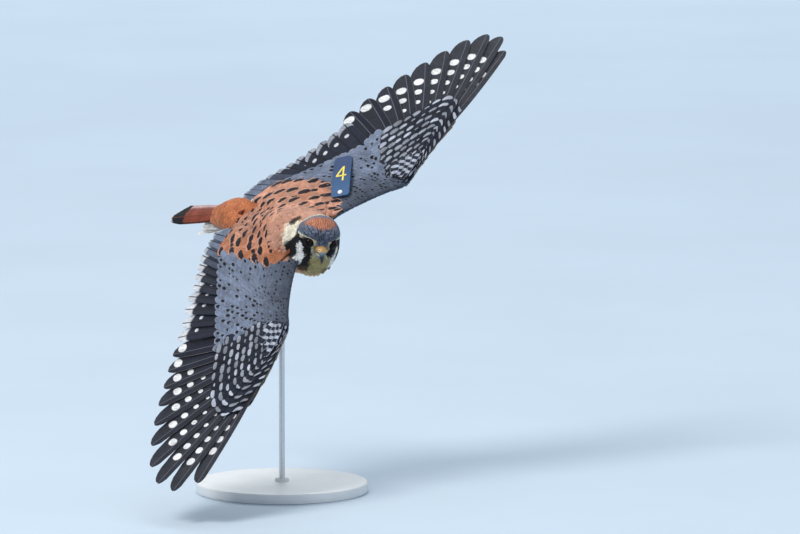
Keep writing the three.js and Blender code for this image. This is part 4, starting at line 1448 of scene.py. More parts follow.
def wing_coat(wing, beds, rng):
    """Coverts in staggered rows over both faces of a wing, from its leading edge back over the quills."""
    parts = (
        ("arm", 1, (2.5, 6.8), arm_looks),
        ("hand", 1, (5.2, 9.4), hand_looks),
        ("lower", -1, (3.2, 7.5), under_looks),
    )
    for name, above, gaps, looks_for in parts:
        bed = beds[above]
        span, chord, gap = bed.rows(*gaps, rng)
        control, length = bed.control(span, chord, gap * 2.2 + 2.5, gap * 1.5)
        ends = control[0][:, -1]
        out = np.abs(ends[:, 1]) - rufous_reach(ends[:, 0], np.sign(ends[:, 1]))
        beyond = span - bed.wrist_at + 14 * (0.5 - chord) * blend(0.2, 0.6, chord)
        beyond = beyond + rng.random(len(span)) * 2
        if name == "arm":
            keep = (out > -4) & (beyond < 1)
        elif name == "hand":
            keep = beyond > 0
        else:
            keep = (np.abs(ends[:, 1]) > 20) & (chord > 0.05)
        control = [part[keep] for part in control]
        span, chord, gap, length = (values[keep] for values in (span, chord, gap, length))
        grid = vanes(control, length, SOFT_OUTLINE, 11, 9, rng, lift=(-0.2, 0.2 * gap), camber=0.35,
                     notch=0.05)
        looks = looks_of(len(span), length, rng=rng, **looks_for(chord, gap, rng))
        coat = Coat()
        coat.add(grid, looks, map_cells(span / bed.SPAN, chord, 0.005))
        coat.build(f"coverts_{name}_{wing.name}", PLUMAGE, "wing_feathers",
                   (f"wing_{wing.name}_arm", f"wing_{wing.name}_hand"))


# Long feathers
LONG_CONTROLS = 24
FLIGHT_WEBS = (
    ((0, 0.3), (0.2, 0.7), (0.5, 1), (0.85, 0.97), (1, 0.88)),
    ((0, 0.2), (0.22, 0.65), (0.5, 1), (0.85, 0.97), (1, 0.88)),
)
COVERT_WEBS = (((0, 0.4), (0.3, 0.85), (0.7, 1), (1, 0.9)),) * 2


def long_control(feathers, side, lap=0.15, start=0.0):
    """Control points of straight or bowed feathers, from a share of their length on."""
    t = mix(start, 1.0, np.linspace(0, 1, LONG_CONTROLS))[:, None]
    rows = []
    for f in feathers:
        lead = np.cross(f["along"], f["up"]) * side
        swell = 4 * t * (1 - t) * f["length"]
        line = f["root"] + f["along"] * f["length"] * t + lead * f["bow"] * swell
        line = line + f["up"] * (f["arch"] * swell)
        lead_edge = line + lead * f["outer"] + f["up"] * f["outer"] * lap
        rear_edge = line - lead * f["inner"] - f["up"] * f["inner"] * lap
        rows.append((line, lead_edge, rear_edge, np.tile(f["up"], (LONG_CONTROLS, 1))))
    control = [np.array(column) for column in zip(*rows)]
    return control, np.array([f["length"] * (1 - start) for f in feathers])


def strip_cells(count, row, rows):
    """Side by side cells of the map for long feathers, in one of a few rows."""
    size = np.tile(np.array([0.96 / count, 0.96 / rows]), (count, 1))
    origin = np.stack([0.02 + np.arange(count) * 0.96 / count, np.full(count, 0.02 + row * 0.96 / rows)], 1)
    return origin, size * (0.92, 0.96)


# Pale spots on each primary, from the innermost out: how many, and how far the first is from the tip
PRIMARY_SPOTS = (1, 1, 2, 3, 3, 4, 5, 5, 5, 5)
PRIMARY_FIRST = (9, 10, 14, 20, 24, 26, 29, 30, 32, 34)
# The primaries' ground, innermost and outermost: the outer ones lighter and greyer, a painted sheen toward
# the wing's tip
INNER_PRIMARY = np.array([0.007, 0.010, 0.022])
SHEENED_OUTER_PRIMARY = np.array([0.030, 0.031, 0.042])


def flight_feathers(wing, rng):
    """Primaries, secondaries and tertials of one wing."""
    coat = Coat()
    count = len(wing.primaries)
    control, length = long_control(wing.primaries, wing.side)
    grid = vanes(control, length, FLIGHT_WEBS, 40, 11, rng, camber=0.5, thickness=0.35, notch=0.004,
                 pointed=(2.0, 1.5), ridge=0.3, quill=True)
    outer = np.arange(count) / (count - 1)
    # Lighter toward the outer primaries: painted sheen
    ground = mix(INNER_PRIMARY, SHEENED_OUTER_PRIMARY, outer[:, None])
    looks = looks_of(
        # base: darker roots, partly the feathers' own darker bases and partly painted shade under the
        # coverts
        count, length, ground, rng, under=(0.20, 0.18, 0.17), base=ground * 0.7, mark=(0.82, 0.82, 0.84),
        first=np.array(PRIMARY_FIRST), period=12.6, last=np.array(PRIMARY_SPOTS) - 1.0, half_long=3.8,
        half_wide=mix(5.3, 3.9, outer), centre=-mix(6.2, 4.8, outer), shrink=mix(0.3, 0.1, outer),
        edge=(0.10, 0.09, 0.10), edge_width=np.where(outer < 0.4, 1.0, 0.3),
        quill=(0.13, 0.14, 0.17), quill_width=0.34,
    )
    coat.add(grid, looks, strip_cells(count, 0, 2))
    count = len(wing.secondaries)
    control, length = long_control(wing.secondaries, wing.side, start=0.3)
    grid = vanes(control, length, FLIGHT_WEBS, 30, 11, rng, camber=0.5, thickness=0.3, notch=0.012,
                 pointed=(0.8, 0.8), ridge=0.2, quill=True, tip_rim=True)
    inward = blend(6, 9, np.arange(count))
    tip_colour, tip_width = wing.tips
    looks = looks_of(
        count, length, mix(DUSKY, SLATE * 1.1, inward[:, None]), rng, under=(0.30, 0.28, 0.27),
        mark=(0.62, 0.63, 0.67), first=tip_width + 7.5, half_long=1.7, half_wide=2.3, centre=-5.0,
        edge=mix(np.array(tip_colour), PALE_SLATE, inward[:, None]), edge_width=mix(tip_width, 3.0, inward),
        quill=BLACK, quill_width=0.75,
    )
    coat.add(grid, looks, strip_cells(count, 1, 2))
    coat.build(f"flight_feathers_{wing.name}", PLUMAGE, "wing_feathers",
               (f"wing_{wing.name}_arm", f"wing_{wing.name}_hand"))


# Length and turn of the thumb's feathers
ALULA = ((38, 8), (32, 14), (26, 20), (19, 28))


def alula(wing, rng):
    feathers = []
    for i, (length, angle) in enumerate(ALULA):
        angle = math.radians(angle)
        along = wing.hand * math.cos(angle) + wing.back * math.sin(angle)
        root = wing.wrist + wing.back * (-1.5 + 2.5 * i) + wing.normal * (4.2 + 0.5 * i)
        feathers.append(feather(root, along, wing.normal, length, 3.4, 5.2, bow=0.03, arch=0.02))
    control, length = long_control(feathers, wing.side)
    grid = vanes(control, length, COVERT_WEBS, 22, 9, rng, camber=0.5, thickness=0.25, notch=0.02,
                 quill=True)
    looks = looks_of(
        len(feathers), length, DUSKY, mark=PALE_SLATE * 1.3, first=7.5, period=7.0, last=3.0, half_long=1.7,
        half_wide=4.2, centre=0.0, edge=PALE_SLATE * 1.2, edge_width=0.6, rng=rng,
    )
    coat = Coat()
    coat.add(grid, looks, strip_cells(len(feathers), 0, 1))
    coat.build(f"alula_{wing.name}", PLUMAGE, "wing_feathers", (f"wing_{wing.name}_hand",))


# Tail
TAIL_ROOT = np.array([-48.0, 3.0, 17.0])
TAIL_LENGTH = 118
TAIL_AXES = turn(17, -12.8, 0.6)
TAIL_PAIRS = 6
# Each side of the tail: its fan in degrees, and its steps outwards and in length from feather to feather
TAIL_SIDES = {1: dict(fan=3.2, out=0.9, step=2.2), -1: dict(fan=0.0, out=0.0, step=1.0)}
TAIL_STEP = 0.6
# The pinkish painted sheen on the left side's outer tail feathers, where they are seen at a grazing angle
TAIL_SHEEN_PINK = np.array([0.50, 0.33, 0.33])


def on_tail(x, y, z):
    return TAIL_AXES @ np.array([x, y, z])


def tail_side(side):
    """One side of the nearly closed tail, from its middle feather out and down."""
    spec = TAIL_SIDES[side]
    feathers = []
    for k in range(TAIL_PAIRS):
        angle = math.radians(spec["fan"] * (k + 0.3) / TAIL_PAIRS)
        below = k * TAIL_STEP + (TAIL_STEP / 2 if side < 0 else 0) + 1
        root = TAIL_ROOT + on_tail(4, side * (0.4 + spec["out"] * k), -below)
        along = on_tail(-math.cos(angle), side * math.sin(angle), 0)
        length = TAIL_LENGTH + 1 - spec["step"] * k**1.1
        feathers.append(feather(root, along, on_tail(0, 0, 1), length, 4.3, 4.5))
    return feathers


def tail_feathers(rng):
    coat = Coat()
    k = np.arange(TAIL_PAIRS)
    for row, side in enumerate((1, -1)):
        control, length = long_control(tail_side(side), -side, lap=0.0)
        grid = vanes(control, length, FLIGHT_WEBS, 34, 11, rng, camber=0.5, thickness=0.25, notch=0.012,
                     pointed=(1.2, 1.2), quill=True, tip_rim=True)
        # The left side's outer feathers go pinkish: a painted sheen, not their own colour
        pale = (blend(2.5, 4, k) if side > 0 else 0 * k)[:, None]
        ground = mix(DEEP_RUFOUS, TAIL_SHEEN_PINK, pale)
        band = np.maximum(9, 22 - 0.9 * TAIL_SIDES[side]["step"] * k**1.1)
        looks = looks_of(
            # base: roots a little darker, partly the feathers' own darker bases and partly painted shade
            # under the coverts
            TAIL_PAIRS, length, ground, rng, base=ground * 0.9, under=SALMON, mark=BLACK,
            first=(band + 2) / 2, half_long=(band - 2) / 2, half_wide=40.0,
            edge=(0.66, 0.64, 0.62), edge_width=2.0, quill=ground * 0.6, quill_width=0.5,
        )
        coat.add(grid, looks, strip_cells(TAIL_PAIRS, row, 2))
    coat.build("tail_feathers", PLUMAGE, "tail_feathers", ("tail",))


# The rump, along the tail's own line: half width and height of its dome
RUMP_WIDTH = ((-47, 8), (-30, 12), (-14, 14.5), (0, 13), (10, 10))
RUMP_HEIGHT = ((-47, 3.6), (-36, 5.6), (-28, 7.2), (-18, 7.6), (-8, 5.2), (0, 2.2), (10, -2))
RUMP_MIDDLE = (1.5, -4.0)
RUMP_ROW_GAP = 3.3
RUMP_GAP = 4.4


def rump_place(along, angle):
    """Points of the rump and the ways out of it, by place along the tail and angle round it."""
    wide, high = profile(RUMP_WIDTH, along), profile(RUMP_HEIGHT, along)
    y = RUMP_MIDDLE[0] + wide * np.sin(angle)
    z = RUMP_MIDDLE[1] + high * np.cos(angle)
    local = np.stack([along, y, z], -1)
    out = np.stack([0 * along, high * np.sin(angle), wide * np.cos(angle)], -1)
    return TAIL_ROOT + local @ TAIL_AXES.T, unit(out) @ TAIL_AXES.T


def rump_coat(rng):
    """Small rufous feathers lapped over the rump as far as the tail."""
    tips = []
    for row, along in enumerate(np.arange(-46, 2, RUMP_ROW_GAP)):
        step = RUMP_GAP / float(profile(RUMP_WIDTH, along))
        tips += [(along, angle) for angle in np.arange(-1.5 + step * 0.5 * (row % 2), 1.5, step)]
    tips = np.array(tips) + (rng.random((len(tips), 2)) - 0.5) * (1.8, 0.08)
    count = len(tips)
    length = 11 + 5 * rng.random(count)
    along = tips[:, :1] + length[:, None] * np.linspace(1, 0, CONTROLS)
    angle = np.repeat(tips[:, 1:], CONTROLS, 1)
    half = 3.3 / profile(RUMP_WIDTH, along)
    middle, up = rump_place(along, angle)
    control = (middle, rump_place(along, angle + half)[0], rump_place(along, angle - half)[0], up)
    grid = vanes(control, length, SOFT_OUTLINE, 11, 9, rng, lift=(-0.6, 0.7), camber=0.3, notch=0.14,
                 thickness=0.16)
    ground = RUFOUS * (1.05, 0.95, 0.85) * (0.78 + 0.44 * rng.random((count, 1)))
    # Darker roots, partly the feathers' own darker bases and partly painted shade under the next rows, none
    # on the rows nearest the back
    base = ground * mix(0.6, 1.0, blend(-12, -5, tips[:, :1]))
    looks = looks_of(count, length, ground, rng, base=base, edge=ground * (1.25, 1.35, 1.3), edge_width=0.9)
    return grid, looks, map_cells(even(tips[:, 0]) * 0.48, even(tips[:, 1]), 0.003)


def undertail(count, width, thin, corner, rng):
    """Loose white feathers under the tail, the thin ones out on its right side."""
    feathers = []
    for _ in range(count):
        t = rng.random()
        root = on_tail(-14 - 10 * rng.random(), -6 + 5 * (rng.random() - 0.5), -7 - rng.random())
        root = TAIL_ROOT + root
        if thin:
            tip = on_tail(-38 - 30 * t, -15.5 + 7 * t + 2.4 * rng.random(), -12 + 4 * t + 2 * rng.random())
            tip = TAIL_ROOT + tip
        else:
            tip = root + on_tail(-30 - 16 * t, 12 * (rng.random() - 0.5), 1.5)
        reach = norm(tip - root)
        bow = 0.05 * (rng.random() - 0.5)
        up = on_tail(0, -0.4, -1)
        feathers.append(feather(root, unit(tip - root), up, reach, width, width, bow=bow, arch=0.02))
    control, length = long_control(feathers, 1, lap=0.0)
    control[3] = unit(control[3])
    grid = vanes(control, length, COVERT_WEBS, 13, 7, rng, lift=(0, 0.3), camber=0.3, thickness=0.14,
                 notch=0.12, pointed=(1.6, 1.6))
    shade = WHITE * (0.88 + 0.2 * rng.random((count, 1)))
    looks = looks_of(count, length, shade, rng, edge=WHITE, edge_width=0.6)
    x, y, _ = np.array([f["root"] for f in feathers]).T
    return grid, looks, map_cells(even(y) * 0.22 + corner, even(x), 0.003)


def tail_coverts(rng):
    coat = Coat()
    coat.add(*rump_coat(rng))
    coat.add(*undertail(46, 0.75, True, 0.51, rng))
    coat.add(*undertail(40, 2.4, False, 0.76, rng))
    coat.build("tail_coverts", PLUMAGE, "tail_feathers", ("tail",))


# Head furniture
# The bill's halves: middle lines as (x, z) in the head's frame, half widths and half heights
BILL_LINE = (
    (12, -6.8), (16, -6.9), (18.6, -8.0), (20.4, -10.0), (21.9, -12.4), (23.0, -15.0), (23.6, -17.3),
)
BILL_WIDTHS = (4.8, 4.4, 3.4, 2.6, 1.85, 0.95, 0.2)
BILL_HEIGHTS = (3.1, 3.1, 2.8, 2.4, 1.8, 0.9, 0.2)
BILL_SIDES = 28
BILL_GREY = np.array([0.13, 0.19, 0.26])
BILL_TIP = np.array([0.006, 0.006, 0.007])
CERE_LINE = BILL_LINE[:4]
CERE_YELLOW = (0.46, 0.26, 0.09)
JAW_LINE = ((11.5, -12.0), (15, -12.0), (17.4, -12.8), (19.4, -14.2))
JAW_WIDTHS = (4.6, 3.9, 2.7, 1.1)
JAW_HEIGHTS = (2.6, 2.1, 1.6, 0.8)
JAW_HORN = np.array([0.26, 0.25, 0.17])


def bill_rings(line, widths, heights, count, grow=0.0, tooth=0.0):
    """Sections along a half of the bill, narrower on top, with a tooth near the tip."""
    rows = resample(np.column_stack([line, widths, heights]), count)
    middle = np.stack([rows[:, 0], np.zeros(count), rows[:, 1]], 1)
    way = unit(np.gradient(middle, axis=0))
    up = np.stack([-way[:, 2], np.zeros(count), way[:, 0]], 1)
    angle = circle(BILL_SIDES)
    share = np.linspace(0, 1, count)
    keel = 1 - 0.14 * np.maximum(0, np.cos(angle))[None] ** 3
    low = tooth * np.exp(-((share[:, None] - 0.66) / 0.05) ** 2) * np.maximum(0, -np.cos(angle))[None]
    lift = np.cos(angle)[None] * ((rows[:, 3] + grow)[:, None] + low)
    rings = middle[:, None] + up[:, None] * lift[..., None]
    rings[..., 1] += np.sin(angle)[None] * (rows[:, 2] + grow)[:, None] * keel
    return rings


def by_ring(values, sides):
    """A tube's values, one for each ring, given to all its points, with 0 and 1 for its ends."""
    return np.append(np.repeat(values, sides), [0, 1])[:, None]


def bill_half(name, rings, near, far, low, high):
    """A half of the bill, its colour changing between two shares of its length."""
    share = by_ring(np.linspace(0, 1, len(rings)), BILL_SIDES)
    colours = mix(near, far, blend(low, high, share))
    solid_piece(f"{name}_horn", [loft(rings)], HORN, (name,), colours, head_in_part)


def bill_and_cere():
    upper = bill_rings(BILL_LINE, BILL_WIDTHS, BILL_HEIGHTS, 44, tooth=0.5)
    bill_half("bill_upper", upper, BILL_GREY, BILL_TIP, 0.42, 0.66)
    lower = bill_rings(JAW_LINE, JAW_WIDTHS, JAW_HEIGHTS, 20)
    bill_half("bill_lower", lower, JAW_HORN, BILL_GREY * 0.7, 0.4, 0.75)
    cere = bill_rings(CERE_LINE, BILL_WIDTHS[:4], BILL_HEIGHTS[:4], 30, grow=0.35)[4:25]
    share = np.linspace(0, 1, len(cere))[:, None, None]
    middle = cere.mean(1, keepdims=True)
    cere = middle + (cere - middle) * (1 - 0.12 * blend(0.84, 1.0, share))
    found = [(loft(cere), CERE_YELLOW)]
    for side in (1, -1):
        facing = (0.72, 0.55 * side, 0.45)
        found += [
            (ball_part((17.9, side * 2.25, -7.1), 2.1), (0.50, 0.31, 0.15)),
            # Pale nostril rims, a painted highlight, round a dark ball that is painted shade in the
            # nostril's hollow
            (ring_tube((19.3, side * 3.15, -6.4), facing, 0.95, 0.85, 0.33, 28), (0.80, 0.55, 0.30)),
            (ball_part((19.1, side * 3.05, -6.45), 0.72), (0.02, 0.010, 0.006)),
            (ball_part((19.65, side * 3.4, -6.2), 0.28), (0.5, 0.28, 0.08)),
        ]
    parts, shades = zip(*found)
    colours = np.repeat(shades, [len(points) for points, _ in parts], 0)
    solid_piece("cere", parts, HORN, ("bill_upper",), colours, head_in_part)


def ring_tube(centre, facing, wide, high, thick, steps, drop=0.0):
    """A rounded ring round an axis, as eyelids and nostril rims are, thicker on top by drop."""
    facing = unit(np.array(facing, float))
    level = unit(np.cross((0, 0, 1), facing))
    upright = np.cross(facing, level)
    angle = circle(steps)
    round_ = circle(LID_SIDES)
    out = level[None] * np.cos(angle)[:, None] * wide + upright[None] * np.sin(angle)[:, None] * high
    size = thick * (1 + drop * np.maximum(0, np.sin(angle)))
    way = unit(out)
    tube = way[:, None] * np.cos(round_)[None, :, None] + facing * np.sin(round_)[None, :, None]
    points = np.array(centre, float) + out[:, None] + tube * size[:, None, None]
    faces = loft_faces(steps + 1, LID_SIDES) % (steps * LID_SIDES)
    return points.reshape(-1, 3), [list(f) for f in faces]


def ball_part(centre, radius):
    return loft(sphere_rings(16, 24) * radius + np.array(centre, float))


def eyes_and_lids():
    for name, side in (("left", 1), ("right", -1)):
        centre = np.array([EYE[0], side * EYE[1], EYE[2]])
        facing = unit(np.array(EYE_FACING) * (1, side, 1))
        level = unit(np.cross((0, 0, 1), facing))
        axes = np.stack([facing, level, np.cross(facing, level)])
        rings = sphere_rings(40, 48)
        tilt = np.arccos(np.clip(rings[..., 0], -1, 1))
        radius = EYE_RADIUS + 0.35 * np.exp(-((tilt / 0.55) ** 2))
        ball = loft((rings * radius[..., None]) @ axes + centre)
        tilt = np.append(tilt.ravel(), [0, math.pi])[:, None]
        colours = mix(mix(PUPIL, IRIS, blend(0.34, 0.40, tilt)), EYE_RIM, blend(0.62, 0.75, tilt))
        solid_piece(f"eye_{name}_ball", [ball], EYE_GLOSS, (f"eye_{name}",), colours, head_in_part)
        lid = ring_tube(centre + facing * 2.9, facing, 3.65, 3.35, 0.5, 48, drop=0.6)
        solid_piece(f"lids_{name}", [lid], EYE_GLOSS, ("head",), LID_BLACK, head_in_part)


# Legs
HOCK = (-35, 8.5, -22)
FOOT = (-67, 7, -14.5)
# Each toe: how far it turns out, its length, and how far it dips at its root
TOES = ((0, 22, 12), (26, 15, 16), (-24, 15, 16), (8, 10, 62))
CLAW_LENGTH = 7.5
SCUTE_SPACING = 1.5
SCUTE_SIZE = 0.16
LEG_YELLOW = (0.66, 0.42, 0.08)
CLAW_BLACK = (0.015, 0.013, 0.012)


def bent_line(start, swing, dips, length):
    """Points of a line of a given length that dips more at each step, turned out by swing."""
    points = [start]
    swing = math.radians(swing)
    for dip in dips:
        drop = math.radians(dip)
        way = (-math.cos(drop) * math.cos(swing), math.cos(drop) * math.sin(swing), -math.sin(drop))
        points.append(points[-1] + np.array(way) * length / len(dips))
    return np.array(points)


def toe_line(side, turn_out, length, dip):
    foot = np.array(FOOT) * (1, side, 1)
    return bent_line(foot, turn_out * side, [dip + 14 * i for i in range(3)], length)


def claw_line(side, turn_out, length, dip):
    end = toe_line(side, turn_out, length, dip)[-1]
    return bent_line(end, turn_out * side, [dip + 34 + 22 * i for i in range(4)], CLAW_LENGTH)


def tube(line, radii, count, sides=20):
    """A round tube along a smooth line, its radius given at the line's own points."""
    rows = resample(np.column_stack([line, radii]), count)
    middle, radius = rows[:, :3], rows[:, 3]
    way = unit(np.gradient(middle, axis=0))
    across = unit(np.array([0, 1, 0]) - way * way[:, 1:2])
    up = np.cross(across, way)
    angle = circle(sides)[None, :, None]
    out = across[:, None] * np.cos(angle) + up[:, None] * np.sin(angle)
    return loft(middle[:, None] + out * radius[:, None, None])


def scute_nodes(name):
    """Geometry Nodes that set a ring round a path at every step, and what their two inputs are called."""
    tree = bpy.data.node_groups.new(name, "GeometryNodeTree")
    tree.is_modifier = True
    tree.interface.new_socket("Geometry", in_out="INPUT", socket_type="NodeSocketGeometry")
    inputs = [
        tree.interface.new_socket(label, in_out="INPUT", socket_type="NodeSocketFloat").identifier
        for label in ("Scute Spacing", "Scute Size")
    ]
    tree.interface.new_socket("Geometry", in_out="OUTPUT", socket_type="NodeSocketGeometry")
    entry = put(tree, "NodeGroupInput").outputs
    ring = put(tree, "GeometryNodeCurvePrimitiveCircle", {"Resolution": 14, "Radius": 1.0})
    section = put(tree, "GeometryNodeCurvePrimitiveCircle", {"Resolution": 6, "Radius": entry["Scute Size"]})
    band = put(tree, "GeometryNodeCurveToMesh", (ring.outputs["Curve"], section.outputs["Curve"]))
    steps = put(tree, "GeometryNodeResampleCurve", {
        "Curve": entry["Geometry"],
        "Length": entry["Scute Spacing"],
    }, mode="LENGTH")
    tangent = put(tree, "GeometryNodeInputTangent").outputs[0]
    facing = put(tree, "FunctionNodeAlignRotationToVector", {"Vector": tangent}, axis="Z")
    radius = put(tree, "GeometryNodeInputRadius").outputs[0]
    rings = put(tree, "GeometryNodeInstanceOnPoints", {
        "Points": steps.outputs["Curve"],
        "Instance": band.outputs["Mesh"],
        "Rotation": facing.outputs["Rotation"],
        "Scale": put(tree, "ShaderNodeCombineXYZ", (radius, radius, MM)).outputs[0],
    })
    real = put(tree, "GeometryNodeRealizeInstances", (rings.outputs["Instances"],))
    finish = put(tree, "GeometryNodeSetMaterial", {"Geometry": real.outputs["Geometry"], "Material": SCUTE})
    put(tree, "NodeGroupOutput", (finish.outputs["Geometry"],))
    return tree, inputs


def scute_field(name, lines):
    """Scutes round each toe and shank, given as lines with their radius."""
    curve = bpy.data.curves.new(name, "CURVE")
    curve.dimensions = "3D"
    for line, radius in lines:
        spline = curve.splines.new("POLY")
        points = in_part(resample(line, 24))
        spline.points.add(len(points) - 1)
        for point, place in zip(spline.points, points):
            point.co = (*place, 1)
            point.radius = radius
    thing = linked(name, curve)
    modifier = thing.modifiers.new("scutes", "NODES")
    modifier.node_group, (spacing, size) = scute_nodes(name)
    modifier[spacing] = SCUTE_SPACING * MM
    modifier[size] = SCUTE_SIZE
    return applied(thing)


def legs():
    for name, side in (("left", 1), ("right", -1)):
        hock, foot = (np.array(place) * (1, side, 1) for place in (HOCK, FOOT))
        shank = np.array([hock, mix(hock, foot, 0.2), mix(hock, foot, 0.85), foot])
        toes = [toe_line(side, *toe) for toe in TOES]
        parts = [tube(shank, (2.3, 1.75, 1.75, 2.4), 30)]
        parts += [tube(toe, (1.75, 1.5, 1.4, 1.15), 26) for toe in toes]
        solid_piece(f"leg_{name}", parts, HORN, (f"foot_{name}",), LEG_YELLOW)
        scutes = scute_field(f"scutes_{name}", [(shank, 1.86 * MM)] + [(toe, 1.5 * MM) for toe in toes])
        piece(f"scutes_{name}", scutes, SCUTE, (f"foot_{name}",))
        claws = [tube(claw_line(side, *toe), (1.2, 1.1, 0.85, 0.5, 0.12), 22, sides=14) for toe in TOES]
        nodes = [f"claw_{name}_{i + 1}" for i in range(len(TOES))]
        solid_piece(f"claws_{name}", claws, CLAW, nodes, CLAW_BLACK)


# The wing tag
TAG_FRONT = np.array([38.0, 51.0, 7.0])
TAG_END = np.array([14.5, 86.5, 12.0])
TAG_WIDTH = 17
TAG_THICKNESS = 1.0
TAG_RISE = 1.2
TAG_CORNER = 5.0
TAG_BLUE = np.array([0.024, 0.090, 0.225])
TAG_DEEP_BLUE = np.array([0.013, 0.042, 0.135])
# Its section, as shares of its half width and thickness
TAG_SECTION = (
    (-1, 0.3), (-0.97, 0), (-0.5, 0), (0, 0), (0.5, 0), (0.97, 0), (1, 0.3),
    (1, 0.7), (0.97, 1), (0.5, 1), (0, 1), (-0.5, 1), (-0.97, 1), (-1, 0.7),
)
# The rivet's outline: share of its radius, and height
RIVET_RADIUS = 2.2
RIVET_OUTLINE = ((1.0, 0.15), (1.0, 0.825), (0.86, 1.2975), (0.5, 1.5), (0.3, 1.25))
NUMBER_STROKES = (((13, -1.6), (30, -1.6)), ((30, -1.6), (19, 4.6)), ((19, 4.9), (19, -4.6)))
NUMBER_STROKE = 1.5


def tag_frame():
    along = TAG_END - TAG_FRONT
    length = float(np.linalg.norm(along))
    along = along / length
    up = unit(ARM_UP - ARM_UP.dot(along) * along)
    return along, up, np.cross(up, along), length


def tag_place(distance, sideways, height):
    along, up, across, length = tag_frame()
    bow = TAG_RISE * np.sin(math.pi * (distance + 4) / (length + 4))
    return TAG_FRONT + along * distance[:, None] + across * sideways[:, None] + up * (bow + height)[:, None]


def tag_plate():
    length = tag_frame()[-1]
    distance = mix(-4, length, 0.5 - 0.5 * np.cos(math.pi * np.linspace(0, 1, 34)))
    past = np.clip((distance - (length - TAG_CORNER)) / TAG_CORNER, 0, 1)
    before = np.clip((-1 - distance) / 3, 0, 1)
    wide = TAG_WIDTH / 2 - TAG_CORNER * 0.9 * (1 - np.sqrt(1 - past**2 * 0.98))
    wide = wide - 2.6 * (1 - np.sqrt(1 - before**2 * 0.98))
    share, depth = np.array(TAG_SECTION).T
    rings = [
        tag_place(np.full(len(share), place), half * share, -TAG_THICKNESS * depth)
        for place, half in zip(distance, wide)
    ]
    colours = mix(TAG_BLUE, TAG_DEEP_BLUE, by_ring(blend(4, 34, distance), len(share)))
    solid_piece("tag_plate", [loft(rings)], TAG_CLOTH, ("wing_tag",), colours, sharp=40)


def tag_number():
    """A plain figure four, painted on the tag, in strokes of even width."""
    parts = []
    for (d0, s0), (d1, s1) in NUMBER_STROKES:
        way = unit(np.array([d1 - d0, s1 - s0], float))
        side = np.array([-way[1], way[0]]) * NUMBER_STROKE / 2
        rings = []
        for t in np.linspace(0, 1, 14):
            d, s = mix(d0, d1, t), mix(s0, s1, t)
            corners = np.array([(d + side[0], s + side[1]), (d - side[0], s - side[1])])
            both = np.concatenate([corners, corners[::-1]])
            rings.append(tag_place(both[:, 0], both[:, 1], np.array([0.22, 0.22, -0.1, -0.1])))
        parts.append(loft(rings))
    solid_piece("tag_number", parts, TAG_INK, ("wing_tag",), sharp=40)


def tag_rivet():
    along, up, across, _ = tag_frame()
    angle = circle(32)
    rings = [
        TAG_FRONT + up * height + along * (np.cos(angle) * share * RIVET_RADIUS)[:, None]
        + across * (np.sin(angle) * share * RIVET_RADIUS)[:, None]
        for share, height in RIVET_OUTLINE
    ]
    solid_piece("tag_rivet", [loft(rings)], RIVET, ("wing_tag_rivet",), sharp=40)


# The stand, the floor, the light and the camera
FOOT_RADIUS = 75
FOOT_HEIGHT = 9
FOOT_EDGE = 1.8
ROD_RADIUS = 2.5


def turned(outline, sides):
    """A form turned on the upright through the part's origin, from pairs of radius and height."""
    angle = circle(sides)
    return loft([
        np.stack([radius * np.cos(angle), radius * np.sin(angle), np.full(sides, float(height))], 1)
        for radius, height in outline
    ])


def stand():
    radius, top, edge = FOOT_RADIUS, FOOT_HEIGHT, FOOT_EDGE
    outline = [(radius - 1, 0), (radius - 0.3, 0.3), (radius, 1), (radius, top - edge)]
    for k in range(1, 9):
        angle = k / 8 * math.pi / 2
        outline.append((radius - edge + edge * math.cos(angle), top - edge + edge * math.sin(angle)))
    outline += [(60, top), (30, top), (6.4, top), (6.0, top + 2.2), (5.2, top + 3.0), (2.7, top + 3.0)]
    rod = [(ROD_RADIUS, height) for height in np.linspace(3, BODY_HEIGHT - 14, 40)]
    for name, form, material, node in (
        ("stand_foot", turned(outline, 128), LACQUER, "stand_base"),
        ("stand_upright", turned(rod, 40), STEEL, "stand_rod"),
    ):
        solid_piece(name, [form], material, (node,), place=stand_in_part, sharp=35)


def stage():
    half, front = 14, -4
    corners = [(-half, front, 0), (half, front, 0), (half, half, 0), (-half, half, 0)]
    mesh = new_mesh("floor", corners, [(0, 1, 2, 3)])
    mesh.materials.append(plain("floor_paper", (0.50, 0.595, 0.695), 0.9, scale=3.0, dapple=0.02))
    linked("floor", mesh)


def area_light(name, place, aim, size, power, colour):
    data = bpy.data.lights.new(name, "AREA")
    data.shape = "DISK"
    data.size = size
    data.energy = power
    data.color = colour
    lamp = linked(name, data)
    lamp.location = place
    lamp.rotation_euler = (Vector(aim) - Vector(place)).to_track_quat("-Z", "Y").to_euler()


def lights():
    centre = (0.05, 0, 0.22)
    area_light("key", (-1.6, -1.8, 3.0), centre, 1.4, 95, (1.0, 0.96, 0.90))
    area_light("fill", (2.6, -2.0, 1.2), centre, 2.6, 14, (0.86, 0.93, 1.0))
    area_light("top", (0.2, 1.0, 3.2), centre, 2.4, 26, (0.93, 0.97, 1.0))
    area_light("backdrop", (0.0, 6.5, 5.0), (0.0, 6.0, 0.0), 5.0, 300, (0.94, 0.98, 1.0))
    world = bpy.data.worlds.new("sky")
    world.use_nodes = True
    sky = world.node_tree.nodes["Background"].inputs
    sky["Color"].default_value = (0.74, 0.83, 0.92, 1)
    sky["Strength"].default_value = 0.5
    bpy.context.scene.world = world


# The picture is 800 by 534 pixels, and the bird's middle is at this pixel of it
PICTURE_WIDE = 800
PICTURE_HIGH = 534
BIRD_PIXEL = (281.6, 234.6)
PIXEL = 0.87
ELEVATION = 8
DISTANCE = 10.0
SENSOR = 36


